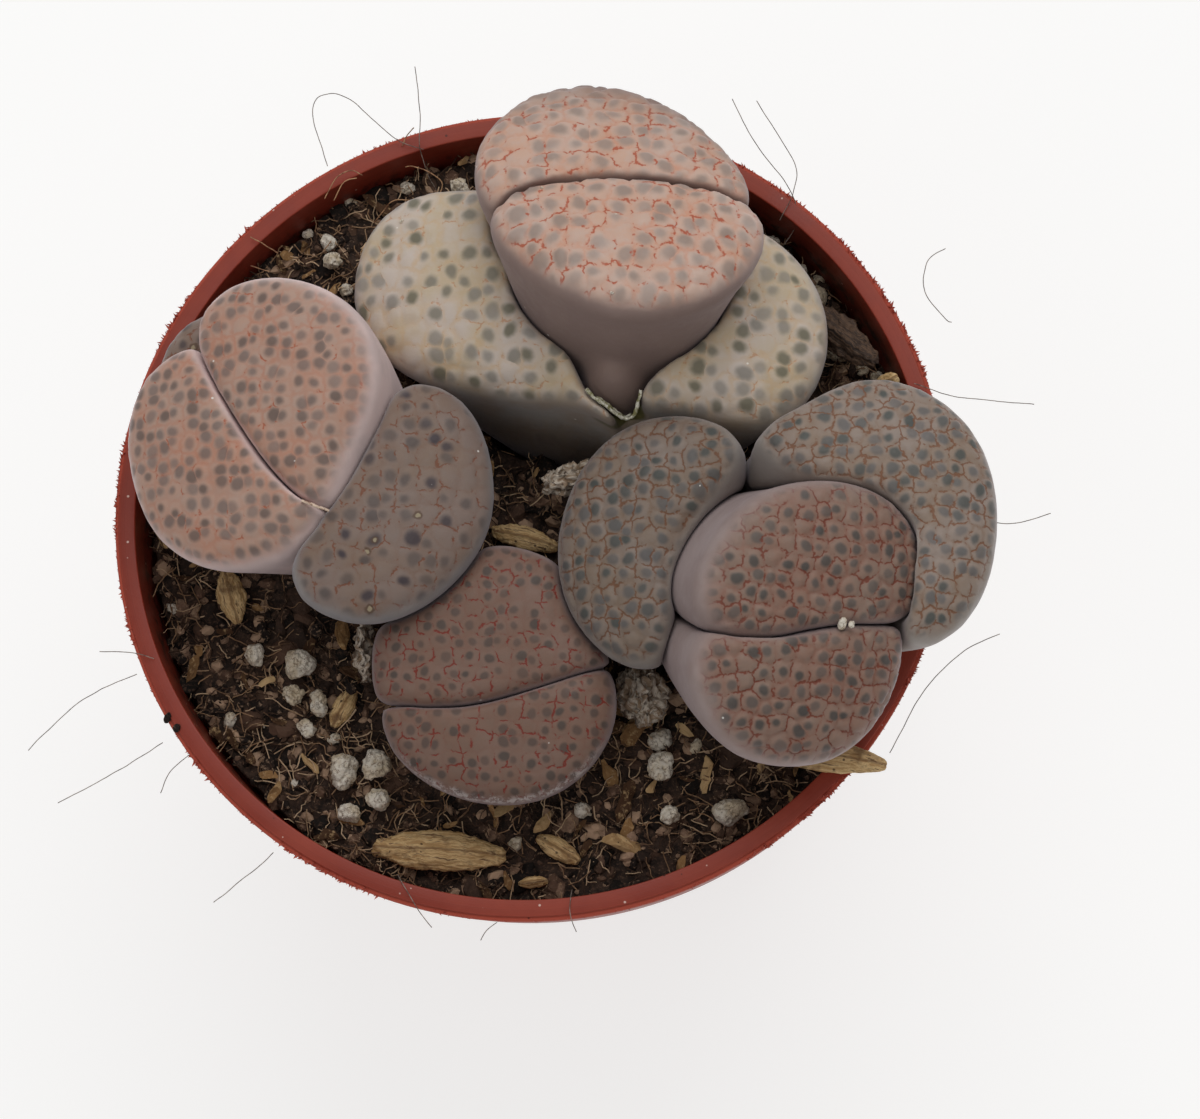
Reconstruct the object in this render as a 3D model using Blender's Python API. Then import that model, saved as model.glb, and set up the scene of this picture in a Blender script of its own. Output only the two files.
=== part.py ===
import math

import bmesh
import bpy
from mathutils import Vector

# A pot of four stone plants. Everything below is in millimetres until MM is applied.
MM = 0.001
CLEARANCE = 0.3  # gap that neighbouring pieces keep

# Pot: a thin tapered plastic pot with a collar and a flat flange round its mouth.
RIM_RADIUS = 32.5
POT_HEIGHT = 53.0
BASE_RADIUS = 22.5
BASE_THICKNESS = 1.0
WALL = 0.9
COLLAR_BOTTOM = 44.0
COLLAR_STEP = 1.0
FLANGE_WIDTH = 1.3
LIP_WIDTH = 0.3
LIP_DROP = 0.25
FLANGE_THICKNESS = 0.8
MOUTH_RADIUS = RIM_RADIUS - LIP_WIDTH - FLANGE_WIDTH
COLLAR_TAPER = 0.6  # how much wider the collar is at the mouth than at its foot
SHOULDER_RADIUS = MOUTH_RADIUS + WALL - COLLAR_STEP - COLLAR_TAPER
BASE_CHAMFER = 0.7
COLLAR_CHAMFER = 0.5  # outside height of the slope under the collar and of the one under the flange
INNER_STEP = (-0.4, 0.6)  # heights of the collar's inside slope from COLLAR_BOTTOM
POT_SIDES = 64
DRAIN_COUNT = 8
DRAIN_RADIUS = 2.5
DRAIN_CIRCLE = 14.0
DRAIN_SIDES = 12
DRAIN_CUT_DEPTH = 4.0 * BASE_THICKNESS

# Soil: level at the front, heaped towards the back left.
SOIL_LEVEL = 46.6
SOIL_HEAP = 3.2
HEAP_DIRECTION = (-0.45, 0.89)
HEAP_START = -5.0
HEAP_LENGTH = 35.0
SOIL_RINGS = 5
SOIL_SIDES = 36
SOIL_BEND_HEIGHTS = (COLLAR_BOTTOM - 0.6, COLLAR_BOTTOM + 1.0)  # where its side follows the collar
SOCKET_SIDES = 20
SOCKET_CLEARANCE = 0.7  # more than CLEARANCE, because a socket has fewer sides than its leaf
NECK_DEPTH = 3.0  # how far a plant goes into the soil
FOOT_POINT = 1.0  # how far the closed lower end tapers below that
SLIVER = 0.03  # corners of a cut closer than this become one

# Leaf surfaces.
LEAF_SIDES = 26
CROWN_STEPS = (0.42, 0.7, 0.87, 0.965)
NECK_STEPS = (0.1, 0.24, 0.43, 0.66, 1.0)
DOME_POWER = 2.5  # 2 is an ellipse, more is a flatter top with a tighter shoulder
NARROWING = 1.2  # 1 tapers evenly down to the neck, more keeps the width near the top
GROOVE_ROUNDING = 0.16  # 0 makes the groove a slit in one dome, 1 gives each leaf its own dome
CURVE_STEPS = 10  # points between two points of an outline
BEND_REACH = 0.4  # share of a stem's length over which it keeps the way it starts

# Where each plant stands in the soil (x, y).
NECKS = {
    "left": (-14.0, 1.0),
    "top": (5.5, 13.0),
    "right": (13.5, -5.0),
    "front": (-2.5, -11.0),
}

# The new pair of leaves of each plant. face is the centre of the plane through its widest
# outline, turned gives the way that the plane leans and by how many degrees, and the outlines
# lie in that plane: the groove between the two leaves, then the outer edge of each one.
HEADS = {
    "left": {
        "face": (-20.0, 5.0, 60.0),
        "turned": (195, 17),
        "groove": ((5.5, -7.2), (3.2, -5.9), (0.5, -2.7), (-2.2, 1.4), (-5.0, 6.3)),
        "upper": ((-5.0, 8.8), (-3.1, 10.9), (0.4, 11.6), (4.1, 10.8), (7.4, 8.7), (9.2, 6.0),
                  (9.8, 3.3), (9.4, 0.7), (8.3, -2.1), (7.0, -4.7)),
        "lower": ((-7.8, 6.0), (-10.2, 3.7), (-11.3, -0.2), (-10.6, -4.6), (-8.6, -8.4),
                  (-5.2, -10.7), (-1.4, -11.3), (2.3, -10.4), (4.6, -8.7)),
        "dome": 3.0,
        "waist": (0.44, 0.44),
        "colour": (0.45, 0.29, 0.24),
    },
    "top": {
        "face": (8.0, 22.1, 62.5),
        "turned": (80, 25),
        "groove": ((9.6, -1.6), (5.8, -0.8), (1.9, -0.4), (-2.7, -0.6), (-7.3, -1.1),
                   (-10.2, -2.6)),
        "upper": ((-11.5, 0.2), (-11.6, 3.6), (-10.2, 7.1), (-7.1, 10.0), (-3.6, 11.0),
                  (0.3, 10.6), (4.2, 8.5), (7.5, 4.8), (9.3, 1.6)),
        "lower": ((-9.9, -5.4), (-7.3, -8.8), (-4.1, -11.1), (-1.0, -12.6), (2.3, -12.7),
                  (5.7, -11.7), (8.6, -9.5), (10.4, -6.4), (10.8, -3.6)),
        "dome": 3.0,
        "waist": (0.34, 0.34),
        "narrowing": 0.85,
        "colour": (0.46, 0.28, 0.23),
    },
    "right": {
        "face": (20.7, -11.9, 62.5),
        "turned": (-35, 25),
        "groove": ((-7.2, -0.6), (-3.5, -1.3), (0.4, -0.5), (4.0, 0.1), (7.9, 0.2)),
        "upper": ((9.5, 1.7), (9.9, 4.0), (9.1, 7.2), (6.9, 9.5), (3.3, 10.6), (-0.7, 10.3),
                  (-3.8, 9.0), (-5.9, 7.0), (-7.4, 4.4), (-8.1, 1.8)),
        "lower": ((8.4, -2.3), (7.6, -5.4), (5.6, -8.5), (2.7, -10.4), (-0.9, -10.8),
                  (-4.1, -10.1), (-6.3, -8.3), (-7.7, -6.0), (-8.3, -3.4)),
        "dome": 3.1,
        "waist": (0.45, 0.45),
        "colour": (0.38, 0.25, 0.23),
    },
    "front": {
        "face": (-2.3, -15.0, 55.0),
        "turned": (-95, 8),
        "groove": ((8.7, 1.5), (6.0, 0.7), (2.5, -0.4), (-1.3, -1.3), (-5.2, -1.6),
                   (-8.9, -1.2)),
        "upper": ((-9.6, 1.7), (-9.2, 4.9), (-7.3, 7.8), (-4.2, 10.1), (-0.2, 11.2),
                  (3.5, 10.4), (6.1, 8.4), (8.0, 5.2)),
        "lower": ((-8.6, -3.3), (-7.6, -5.2), (-5.1, -7.3), (-1.3, -8.7), (3.1, -8.6),
                  (6.7, -6.6), (8.8, -3.5), (9.2, -0.9)),
        "dome": 2.7,
        "waist": (0.58, 0.58),
        "colour": (0.30, 0.20, 0.20),
    },
}

# The old pair of three plants. Each old leaf has a plane of its own, and axis is the point
# of that plane over the middle of the plant, about which the leaf narrows downwards. crown is
# the highest point of a leaf too bent to have it over its middle. aside moves the foot of a
# leaf that the new pair pushes out.
OLD_LEAVES = {
    "left_old_right": {
        "plant": "left",
        "face": (-9.4, -1.9, 59.5),
        "turned": (-20, 8),
        "axis": (-5.5, 1.5),
        "outline": ((-0.5, 9.3), (1.7, 10.1), (4.6, 8.8), (6.5, 5.7), (7.2, 1.0), (6.0, -3.2),
                    (2.5, -7.0), (-2.0, -8.8), (-6.4, -7.7), (-8.2, -5.1), (-6.9, -1.0),
                    (-4.3, 3.8), (-2.2, 7.4)),
        "dome": 2.6,
        "waist": (0.62, 0.6),
        "colour": (0.30, 0.30, 0.31),
    },
    "left_old_left": {
        "plant": "left",
        "face": (-24.3, 9.3, 56.5),
        "turned": (150, 14),
        "axis": (4.5, -2.5),
        "aside": (-3.5, 2.0),
        "outline": ((-5.3, -1.6), (-4.6, 1.7), (-3.6, 4.2), (-1.4, 5.9), (1.7, 6.1), (4.8, 2.9),
                    (6.3, -1.9), (3.6, -5.0), (-0.4, -7.1), (-3.8, -5.1)),
        "dome": 2.0,
        "waist": (0.8, 0.8),
        "colour": (0.32, 0.32, 0.32),
    },
    "top_old_left": {
        "plant": "top",
        "face": (-4.4, 15.9, 56.0),
        "turned": (200, 10),
        "axis": (9.6, -3.0),
        "aside": (1.0, -3.8),
        "outline": ((2.4, 8.7), (-0.8, 8.9), (-4.0, 8.9), (-7.3, 7.1), (-9.1, 3.9),
                    (-9.4, -0.2), (-7.8, -3.5), (-5.2, -5.6), (-1.4, -7.2), (4.0, -8.4),
                    (8.7, -9.0), (11.4, -10.6), (11.7, -7.1), (10.3, -1.5), (7.2, 4.3)),
        "dome": 3.2,
        "waist": (0.55, 0.8),
        "colour": (0.36, 0.35, 0.27),
    },
    "top_old_right": {
        "plant": "top",
        "face": (16.5, 12.3, 56.0),
        "turned": (0, 16),
        "axis": (-7.6, -0.5),
        "aside": (1.0, -3.8),
        "outline": ((-8.1, -5.4), (-4.7, -6.3), (-1.1, -7.0), (2.8, -6.9), (5.8, -4.1),
                    (7.1, 0.1), (6.3, 4.3), (3.7, 7.6), (0.1, 9.4), (-3.9, 8.3), (-7.5, 2.7),
                    (-8.9, -1.4)),
        "dome": 3.0,
        "waist": (0.55, 0.8),
        "colour": (0.36, 0.35, 0.29),
    },
    "right_old_left": {
        "plant": "right",
        "face": (9.6, -4.7, 58.5),
        "turned": (190, 12),
        "axis": (4.5, 0.0),
        "outline": ((2.1, 10.0), (-1.5, 9.4), (-4.7, 6.9), (-6.5, 3.4), (-7.2, -0.5),
                    (-6.3, -4.8), (-3.6, -8.3), (-0.7, -9.6), (1.4, -8.8), (2.4, -5.2),
                    (3.0, -1.8), (4.5, 1.5), (7.0, 5.2), (7.2, 7.7), (5.2, 9.3)),
        "dome": 3.0,
        "waist": (0.5, 0.55),
        "colour": (0.28, 0.27, 0.25),
    },
    "right_old_right": {
        "plant": "right",
        "face": (28.5, -2.7, 60.2),
        "turned": (20, 8),
        "axis": (-7.2, -2.4),
        "crown": (2.6, 1.2),
        "outline": ((-10.9, 5.4), (-6.7, 8.4), (-3.1, 10.2), (0.7, 10.0), (4.4, 7.8),
                    (6.7, 4.3), (7.5, -0.2), (6.8, -5.4), (4.8, -9.0), (2.1, -10.7),
                    (0.1, -10.4), (-0.1, -7.2), (-0.3, -3.8), (-1.7, -1.0), (-4.7, 0.8),
                    (-8.4, 2.2)),
        "dome": 3.2,
        "waist": (0.5, 0.55),
        "colour": (0.28, 0.28, 0.26),
    },
}

# Who yields to whom: each leaf is hollowed where an earlier one presses against it.
LEAF_ORDER = (
    "top_new_lower", "top_new_upper", "left_new_upper", "left_new_lower",
    "right_new_upper", "right_new_lower", "right_old_left", "top_old_left",
    "left_old_right", "top_old_right", "right_old_right", "front_new_lower",
    "front_new_upper", "left_old_left",
)

# White volcanic grains on the soil: x, y and radius.
GRAINS = (
    (-14.9, -19.6, 1.15), (-12.2, -19.1, 1.15), (-12.2, -21.8, 0.95), (-14.2, -22.9, 0.75),
    (-22.1, -10.3, 0.95), (-18.4, -11.0, 1.1), (-18.9, -13.4, 0.95), (-17.0, -14.1, 0.8),
    (-17.9, -16.2, 0.75), (-5.9, 27.3, 0.8), (-16.0, 21.2, 0.9), (9.8, -19.7, 1.1),
    (10.6, -23.3, 0.8), (15.2, -23.2, 1.2),
)
GRAIN_SQUASH = 0.8
GRAIN_LIFT = 0.1
GRAIN_UNEVENNESS = 0.1
GRAIN_WAVES = 4.0
GRAIN_VARIETY = 3.0  # how far the unevenness shifts from one grain to the next

# Dry leaves and husks: both ends (x, y, z), width, how far the middle arches up, and the roll
# about its own length in degrees.
FLAKE_THICKNESS = 0.45
FLAKE_STEPS = 8
FLAKE_TIP = 0.06  # share of the swell left out at each end, so that a tip has some width
FLAKE_FULLNESS = 0.8
FLAKE_RISE = 0.25  # height of the ridge along the middle as a share of the width
FLAKES = {
    "dry_leaf_front": ((-12.6, -25.6, 47.3), (-2.2, -26.4, 47.3), 3.2, 0.7, 0),
    "dry_leaf_small": ((0.2, -24.9, 47.3), (3.5, -26.9, 47.3), 1.7, 0.3, 0),
    "curled_husk": ((-1.2, -28.6, 47.4), (1.1, -28.4, 47.4), 0.9, 0.3, 0),
    "dry_leaf_right": ((18.8, -19.4, 51.6), (27.3, -21.3, 55.2), 2.6, 0.9, 0),
    "husk_left": ((-24.4, -3.4, 48.5), (-23.4, -7.6, 47.9), 2.3, 0.5, 0),
    "husk_triangular": ((-15.8, -15.9, 47.3), (-14.2, -12.9, 47.3), 1.7, 0.3, 0),
    "husk_left_rim": ((-29.2, -1.8, 49.2), (-29.0, 1.2, 49.6), 1.3, 0.2, 35),
    "husk_right_rim": ((26.8, 9.2, 50.0), (28.4, 9.8, 53.8), 1.8, 0.2, 0),
    "bark_strip": ((21.9, 16.7, 49.8), (26.9, 11.4, 52.6), 3.0, 0.5, -25),
    "dry_leaf_centre": ((-3.4, -0.4, 48.1), (1.8, -1.8, 47.5), 1.9, 0.4, 0),
}
FLAKE_COLOURS = {
    "bark_strip": (0.06, 0.04, 0.03),
    "husk_right_rim": (0.40, 0.25, 0.10),
}

# Shrunken remains: centre (x, y, z), half sizes, turn about Z in degrees and colour.
FOLD_DEPTH = 0.12
FOLD_WAVES = (5.0, 4.0, 2.0)
REMAINS = {
    "dead_leaf_right": ((8.6, -14.3, 49.6), (1.9, 2.4, 2.2), 10, (0.45, 0.40, 0.36)),
    "dead_leaf_left": ((-13.2, -10.0, 48.9), (0.6, 2.8, 1.6), 0, (0.50, 0.46, 0.38)),
    "crumb_centre": ((3.3, 2.6, 52.0), (2.3, 1.1, 1.1), 15, (0.52, 0.52, 0.50)),
}

POT_COLOUR = (0.30, 0.07, 0.035)
SOIL_COLOUR = (0.035, 0.024, 0.018)
GRAIN_COLOUR = (0.70, 0.66, 0.58)
HUSK_COLOUR = (0.36, 0.24, 0.11)


def clear_scene():
    for item in list(bpy.data.objects):
        bpy.data.objects.remove(item, do_unlink=True)


def make_material(name, colour, roughness):
    material = bpy.data.materials.new(name)
    material.use_nodes = True
    shader = material.node_tree.nodes["Principled BSDF"]
    shader.inputs["Base Color"].default_value = (*colour, 1.0)
    shader.inputs["Roughness"].default_value = roughness
    shader.inputs["Metallic"].default_value = 0.0
    return material


def add_object(name, bm, material=None, sharp_angle=50.0):
    bmesh.ops.recalc_face_normals(bm, faces=bm.faces)
    mesh = bpy.data.meshes.new(name)
    bm.to_mesh(mesh)
    bm.free()
    mesh.shade_smooth()
    mesh.set_sharp_from_angle(angle=math.radians(sharp_angle))
    item = bpy.data.objects.new(name, mesh)
    item.scale = (MM, MM, MM)
    bpy.context.collection.objects.link(item)
    if material:
        mesh.materials.append(material)
    return item


def hide_cutter(item):
    item.hide_render = True
    item.display_type = "WIRE"


def subtract(item, cutter):
    cut = item.modifiers.new("Cut by " + cutter.name, "BOOLEAN")
    cut.operation = "DIFFERENCE"
    cut.solver = "EXACT"
    cut.object = cutter


def settle_cuts(item):
    # Applies the cuts, tidies the slivers along them and drops the chips they leave behind.
    depsgraph = bpy.context.evaluated_depsgraph_get()
    mesh = bpy.data.meshes.new_from_object(item.evaluated_get(depsgraph))
    item.modifiers.clear()
    bm = bmesh.new()
    bm.from_mesh(mesh)
    bmesh.ops.remove_doubles(bm, verts=bm.verts, dist=SLIVER)
    bmesh.ops.dissolve_degenerate(bm, edges=bm.edges, dist=SLIVER)
    bodies = separate_bodies(bm)
    for body in sorted(bodies, key=len)[:-1]:
        bmesh.ops.delete(bm, geom=body, context="FACES")
    bmesh.ops.holes_fill(bm, edges=[edge for edge in bm.edges if edge.is_boundary], sides=0)
    bm.to_mesh(mesh)
    bm.free()
    item.data = mesh


def separate_bodies(bm):
    # The faces in groups that hang together by their edges.
    waiting = set(bm.faces)
    bodies = []
    while waiting:
        stack = [waiting.pop()]
        body = []
        while stack:
            face = stack.pop()
            body.append(face)
            for edge in face.edges:
                for other in edge.link_faces:
                    if other in waiting:
                        waiting.remove(other)
                        stack.append(other)
        bodies.append(body)
    return bodies


# ---------------------------------------------------------------- rings and closed lofts

def join_rings(bm, rings):
    # Neighbouring rings of equal length become bands of quads.
    for lower, upper in zip(rings, rings[1:]):
        count = len(lower)
        for i in range(count):
            j = (i + 1) % count
            bm.faces.new((lower[i], lower[j], upper[j], upper[i]))


def close_ring(bm, ring, tip):
    # A fan of triangles from the ring to one point.
    point = bm.verts.new(tip)
    for i, corner in enumerate(ring):
        bm.faces.new((corner, ring[(i + 1) % len(ring)], point))


def turned_body(profile, sides):
    # A profile of (radius, height) points turned about Z, closed on the axis at both ends.
    bm = bmesh.new()
    rings = []
    for radius, height in profile[1:-1]:
        angles = [2.0 * math.pi * i / sides for i in range(sides)]
        rings.append([
            bm.verts.new((radius * math.cos(a), radius * math.sin(a), height)) for a in angles
        ])
    join_rings(bm, rings)
    close_ring(bm, rings[0], (0.0, 0.0, profile[0][1]))
    close_ring(bm, rings[-1], (0.0, 0.0, profile[-1][1]))
    return bm


# ---------------------------------------------------------------- pot

def inner_radius(height):
    # Inside of the pot wall: tapered body, then the slightly wider collar.
    body_top = SHOULDER_RADIUS - WALL
    if height < COLLAR_BOTTOM:
        share = height / COLLAR_BOTTOM
        return BASE_RADIUS - WALL + (body_top - BASE_RADIUS + WALL) * share
    share = min((height - COLLAR_BOTTOM) / (POT_HEIGHT - COLLAR_BOTTOM), 1.0)
    collar_foot = body_top + COLLAR_STEP
    return collar_foot + (MOUTH_RADIUS - collar_foot) * share


def pot_profile():
    lip_inner = RIM_RADIUS - LIP_WIDTH
    flange_top = POT_HEIGHT - LIP_DROP
    collar_foot = SHOULDER_RADIUS + COLLAR_STEP
    throat = POT_HEIGHT - COLLAR_CHAMFER
    step_foot, step_top = (COLLAR_BOTTOM + offset for offset in INNER_STEP)
    return (
        (0.0, 0.0),
        (BASE_RADIUS - BASE_CHAMFER, 0.0),
        (BASE_RADIUS, BASE_CHAMFER),
        (SHOULDER_RADIUS, COLLAR_BOTTOM),
        (collar_foot, COLLAR_BOTTOM + COLLAR_CHAMFER),
        (MOUTH_RADIUS + WALL, POT_HEIGHT - FLANGE_THICKNESS - COLLAR_CHAMFER),
        (RIM_RADIUS, POT_HEIGHT - FLANGE_THICKNESS),
        (RIM_RADIUS, flange_top),
        (lip_inner, flange_top),
        (lip_inner, POT_HEIGHT),
        (MOUTH_RADIUS, POT_HEIGHT),
        (inner_radius(throat), throat),
        (inner_radius(step_top), step_top),
        (inner_radius(step_foot), step_foot),
        (inner_radius(BASE_THICKNESS), BASE_THICKNESS),
        (0.0, BASE_THICKNESS),
    )


def make_pot():
    pot = add_object("pot", turned_body(pot_profile(), POT_SIDES),
                     make_material("Terracotta plastic", POT_COLOUR, 0.45), 30.0)
    drains = bmesh.new()
    for i in range(DRAIN_COUNT):
        angle = 2.0 * math.pi * i / DRAIN_COUNT
        made = bmesh.ops.create_cone(
            drains, cap_ends=True, segments=DRAIN_SIDES, radius1=DRAIN_RADIUS,
            radius2=DRAIN_RADIUS, depth=DRAIN_CUT_DEPTH)
        place = Vector((DRAIN_CIRCLE * math.cos(angle), DRAIN_CIRCLE * math.sin(angle), 0.0))
        bmesh.ops.translate(drains, vec=place, verts=made["verts"])
    cutter = add_object("drain_cutter", drains)
    hide_cutter(cutter)
    subtract(pot, cutter)
    return pot


# ---------------------------------------------------------------- leaves

def closed_curve(points, count):
    # A smooth closed curve through the points, as count evenly spaced ones, anticlockwise.
    dense = []
    total = len(points)
    for i in range(total):
        a, b, c, d = (Vector(points[(i + k) % total]) for k in (-1, 0, 1, 2))
        for step in range(CURVE_STEPS):
            t = step / CURVE_STEPS
            dense.append(0.5 * (2.0 * b + (c - a) * t + (2.0 * a - 5.0 * b + 4.0 * c - d) * t * t
                                + (3.0 * b - a - 3.0 * c + d) * t ** 3))
    area = sum(p.x * q.y - q.x * p.y for p, q in zip(dense, dense[1:] + dense[:1]))
    if area < 0.0:
        dense.reverse()
    return resample(dense, count)


def resample(loop, count):
    lengths = [(q - p).length for p, q in zip(loop, loop[1:] + loop[:1])]
    spacing = sum(lengths) / count
    points = []
    travelled = 0.0
    target = 0.0
    for i, length in enumerate(lengths):
        while len(points) < count and travelled + length >= target - 1e-9:
            share = (target - travelled) / max(length, 1e-9)
            points.append(loop[i].lerp(loop[(i + 1) % len(loop)], max(share, 0.0)))
            target += spacing
        travelled += length
    return points


def outward_normals(loop):
    normals = []
    for i in range(len(loop)):
        along = loop[(i + 1) % len(loop)] - loop[i - 1]
        normals.append(Vector((along.y, -along.x)).normalized())
    return normals


def lean_rotation(direction):
    # The shortest turn that takes +Z to the direction.
    return Vector((0.0, 0.0, 1.0)).rotation_difference(direction).to_matrix()


def leaf_mesh(shape, neck, grow, sides=LEAF_SIDES):
    # A leaf is a dome over its widest outline and a stem that narrows down to the neck.
    toward, lean = (math.radians(angle) for angle in shape["turned"])
    up = Vector((math.sin(lean) * math.cos(toward), math.sin(lean) * math.sin(toward),
                 math.cos(lean)))
    face_turn = lean_rotation(up)
    face = Vector(shape["face"])
    axis = Vector(shape["axis"])
    loop = closed_curve(shape["outline"], sides)
    normals = outward_normals(loop)
    middle = sum(loop, Vector((0.0, 0.0))) / len(loop)
    if "crown" in shape:
        middle = Vector(shape["crown"])
    bm = bmesh.new()

    def ring(centre, scale, turn, origin, height):
        corners = []
        for point, normal in zip(loop, normals):
            flat = (point - centre) * Vector(scale) + normal * grow
            if turn is face_turn:
                flat += centre
            corners.append(bm.verts.new(origin + turn @ Vector((flat.x, flat.y, height))))
        return corners

    rings = []
    for step in reversed(NECK_STEPS):
        place, direction = neck_path(face + face_turn @ axis.to_3d(), up, neck, step, grow)
        narrowed = step ** shape.get("narrowing", NARROWING)
        scale = [1.0 - (1.0 - waist) * narrowed for waist in shape["waist"]]
        rings.append(ring(axis, scale, lean_rotation(direction), place, 0.0))
    foot = sum((corner.co for corner in rings[0]), Vector()) / sides
    foot.z -= FOOT_POINT
    rings.append(ring(middle, (1.0, 1.0), face_turn, face, 0.0))
    for step in reversed(CROWN_STEPS):
        height = shape["dome"] * (1.0 - step ** DOME_POWER) ** (1.0 / DOME_POWER) + grow
        rings.append(ring(middle, (step, step), face_turn, face, height))
    join_rings(bm, rings)
    close_ring(bm, rings[0], foot)
    top = Vector((middle.x, middle.y, shape["dome"] + grow))
    close_ring(bm, rings[-1], face + face_turn @ top)
    return bm


def neck_path(start, up, neck, step, grow):
    # A smooth bend from the face of the plant down into the soil, and how its sections lie:
    # like the face at the top, level at the foot.
    end = Vector((*neck, SOIL_LEVEL - NECK_DEPTH - grow))
    reach = (start - end).length
    first = start - up * (BEND_REACH * reach)
    second = end + Vector((0.0, 0.0, BEND_REACH * reach))
    rest = 1.0 - step
    place = (start * rest ** 3 + first * (3.0 * rest * rest * step)
             + second * (3.0 * rest * step * step) + end * step ** 3)
    return place, up.lerp(Vector((0.0, 0.0, 1.0)), step).normalized()


def leaf_shapes():
    # Every leaf by name, with the outline of a new leaf put together from its pair's groove.
    shapes = {}
    for plant, head in HEADS.items():
        groove = head["groove"]
        axis = groove[len(groove) // 2]
        for side in ("upper", "lower"):
            outline = [Vector(point) for point in groove + head[side]]
            middle = sum(outline, Vector((0.0, 0.0))) / len(outline)
            shapes[plant + "_new_" + side] = {
                "crown": Vector(axis).lerp(middle, GROOVE_ROUNDING),
                "plant": plant, "face": head["face"], "turned": head["turned"], "axis": axis,
                "outline": groove + head[side], "dome": head["dome"], "waist": head["waist"],
                "narrowing": head.get("narrowing", NARROWING), "colour": head["colour"],
            }
    shapes.update(OLD_LEAVES)
    return shapes


def boxes_meet(first, second):
    lows = [[min(c[k] for c in item.bound_box) for k in range(3)] for item in (first, second)]
    highs = [[max(c[k] for c in item.bound_box) for k in range(3)] for item in (first, second)]
    return all(lows[0][k] < highs[1][k] and lows[1][k] < highs[0][k] for k in range(3))


def make_leaves():
    shapes = leaf_shapes()
    cutters = []
    sockets = []
    for name in LEAF_ORDER:
        shape = shapes[name]
        neck = Vector(NECKS[shape["plant"]]) + Vector(shape.get("aside", (0.0, 0.0)))
        material = make_material(name + " skin", shape["colour"], 0.55)
        leaf = add_object(name, leaf_mesh(shape, neck, 0.0), material, 70.0)
        for cutter in cutters:
            if boxes_meet(leaf, cutter):
                subtract(leaf, cutter)
        settle_cuts(leaf)
        cutter = add_object("room_for_" + name, leaf_mesh(shape, neck, CLEARANCE))
        hide_cutter(cutter)
        cutters.append(cutter)
        socket = add_object("socket_for_" + name,
                            leaf_mesh(shape, neck, SOCKET_CLEARANCE, SOCKET_SIDES))
        hide_cutter(socket)
        sockets.append(socket)
    return sockets


# ---------------------------------------------------------------- soil and what lies on it

def soil_height(x, y):
    share = (HEAP_DIRECTION[0] * x + HEAP_DIRECTION[1] * y - HEAP_START) / HEAP_LENGTH
    share = min(max(share, 0.0), 1.0)
    return SOIL_LEVEL + SOIL_HEAP * share * share * (3.0 - 2.0 * share)


def soil_edge(height):
    # The pot is a polygon, so its flats come closer than its corners.
    return inner_radius(height) * math.cos(math.pi / POT_SIDES) - CLEARANCE


def make_soil(sockets):
    bm = bmesh.new()
    angles = [2.0 * math.pi * i / SOIL_SIDES for i in range(SOIL_SIDES)]
    rings = []
    for height in (BASE_THICKNESS + CLEARANCE, *SOIL_BEND_HEIGHTS):
        radius = soil_edge(height)
        rings.append([bm.verts.new((radius * math.cos(a), radius * math.sin(a), height))
                      for a in angles])
    for ring_index in range(SOIL_RINGS, 0, -1):
        corners = []
        for a in angles:
            height = soil_height(MOUTH_RADIUS * math.cos(a), MOUTH_RADIUS * math.sin(a))
            radius = soil_edge(height) * ring_index / SOIL_RINGS
            x, y = radius * math.cos(a), radius * math.sin(a)
            corners.append(bm.verts.new((x, y, soil_height(x, y))))
        rings.append(corners)
    join_rings(bm, rings)
    close_ring(bm, rings[0], (0.0, 0.0, BASE_THICKNESS + CLEARANCE))
    close_ring(bm, rings[-1], (0.0, 0.0, soil_height(0.0, 0.0)))
    soil = add_object("soil", bm, make_material("Peat", SOIL_COLOUR, 0.95), 40.0)
    for socket in sockets:
        subtract(soil, socket)
    settle_cuts(soil)
    return soil


def make_grain(number, x, y, radius):
    # A rounded, slightly uneven lump just over the soil.
    bm = bmesh.new()
    made = bmesh.ops.create_icosphere(bm, subdivisions=2, radius=radius)
    height = soil_height(x, y) + CLEARANCE + GRAIN_LIFT + radius * GRAIN_SQUASH
    for vert in made["verts"]:
        wave = math.sin(GRAIN_VARIETY * number + GRAIN_WAVES * vert.co.x / radius)
        bump = 1.0 + GRAIN_UNEVENNESS * wave
        vert.co = Vector((x + vert.co.x * bump, y + vert.co.y, height + vert.co.z * GRAIN_SQUASH))
    material = make_material("Perlite %02d" % number, GRAIN_COLOUR, 0.9)
    return add_object("perlite_%02d" % number, bm, material, 30.0)


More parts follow.
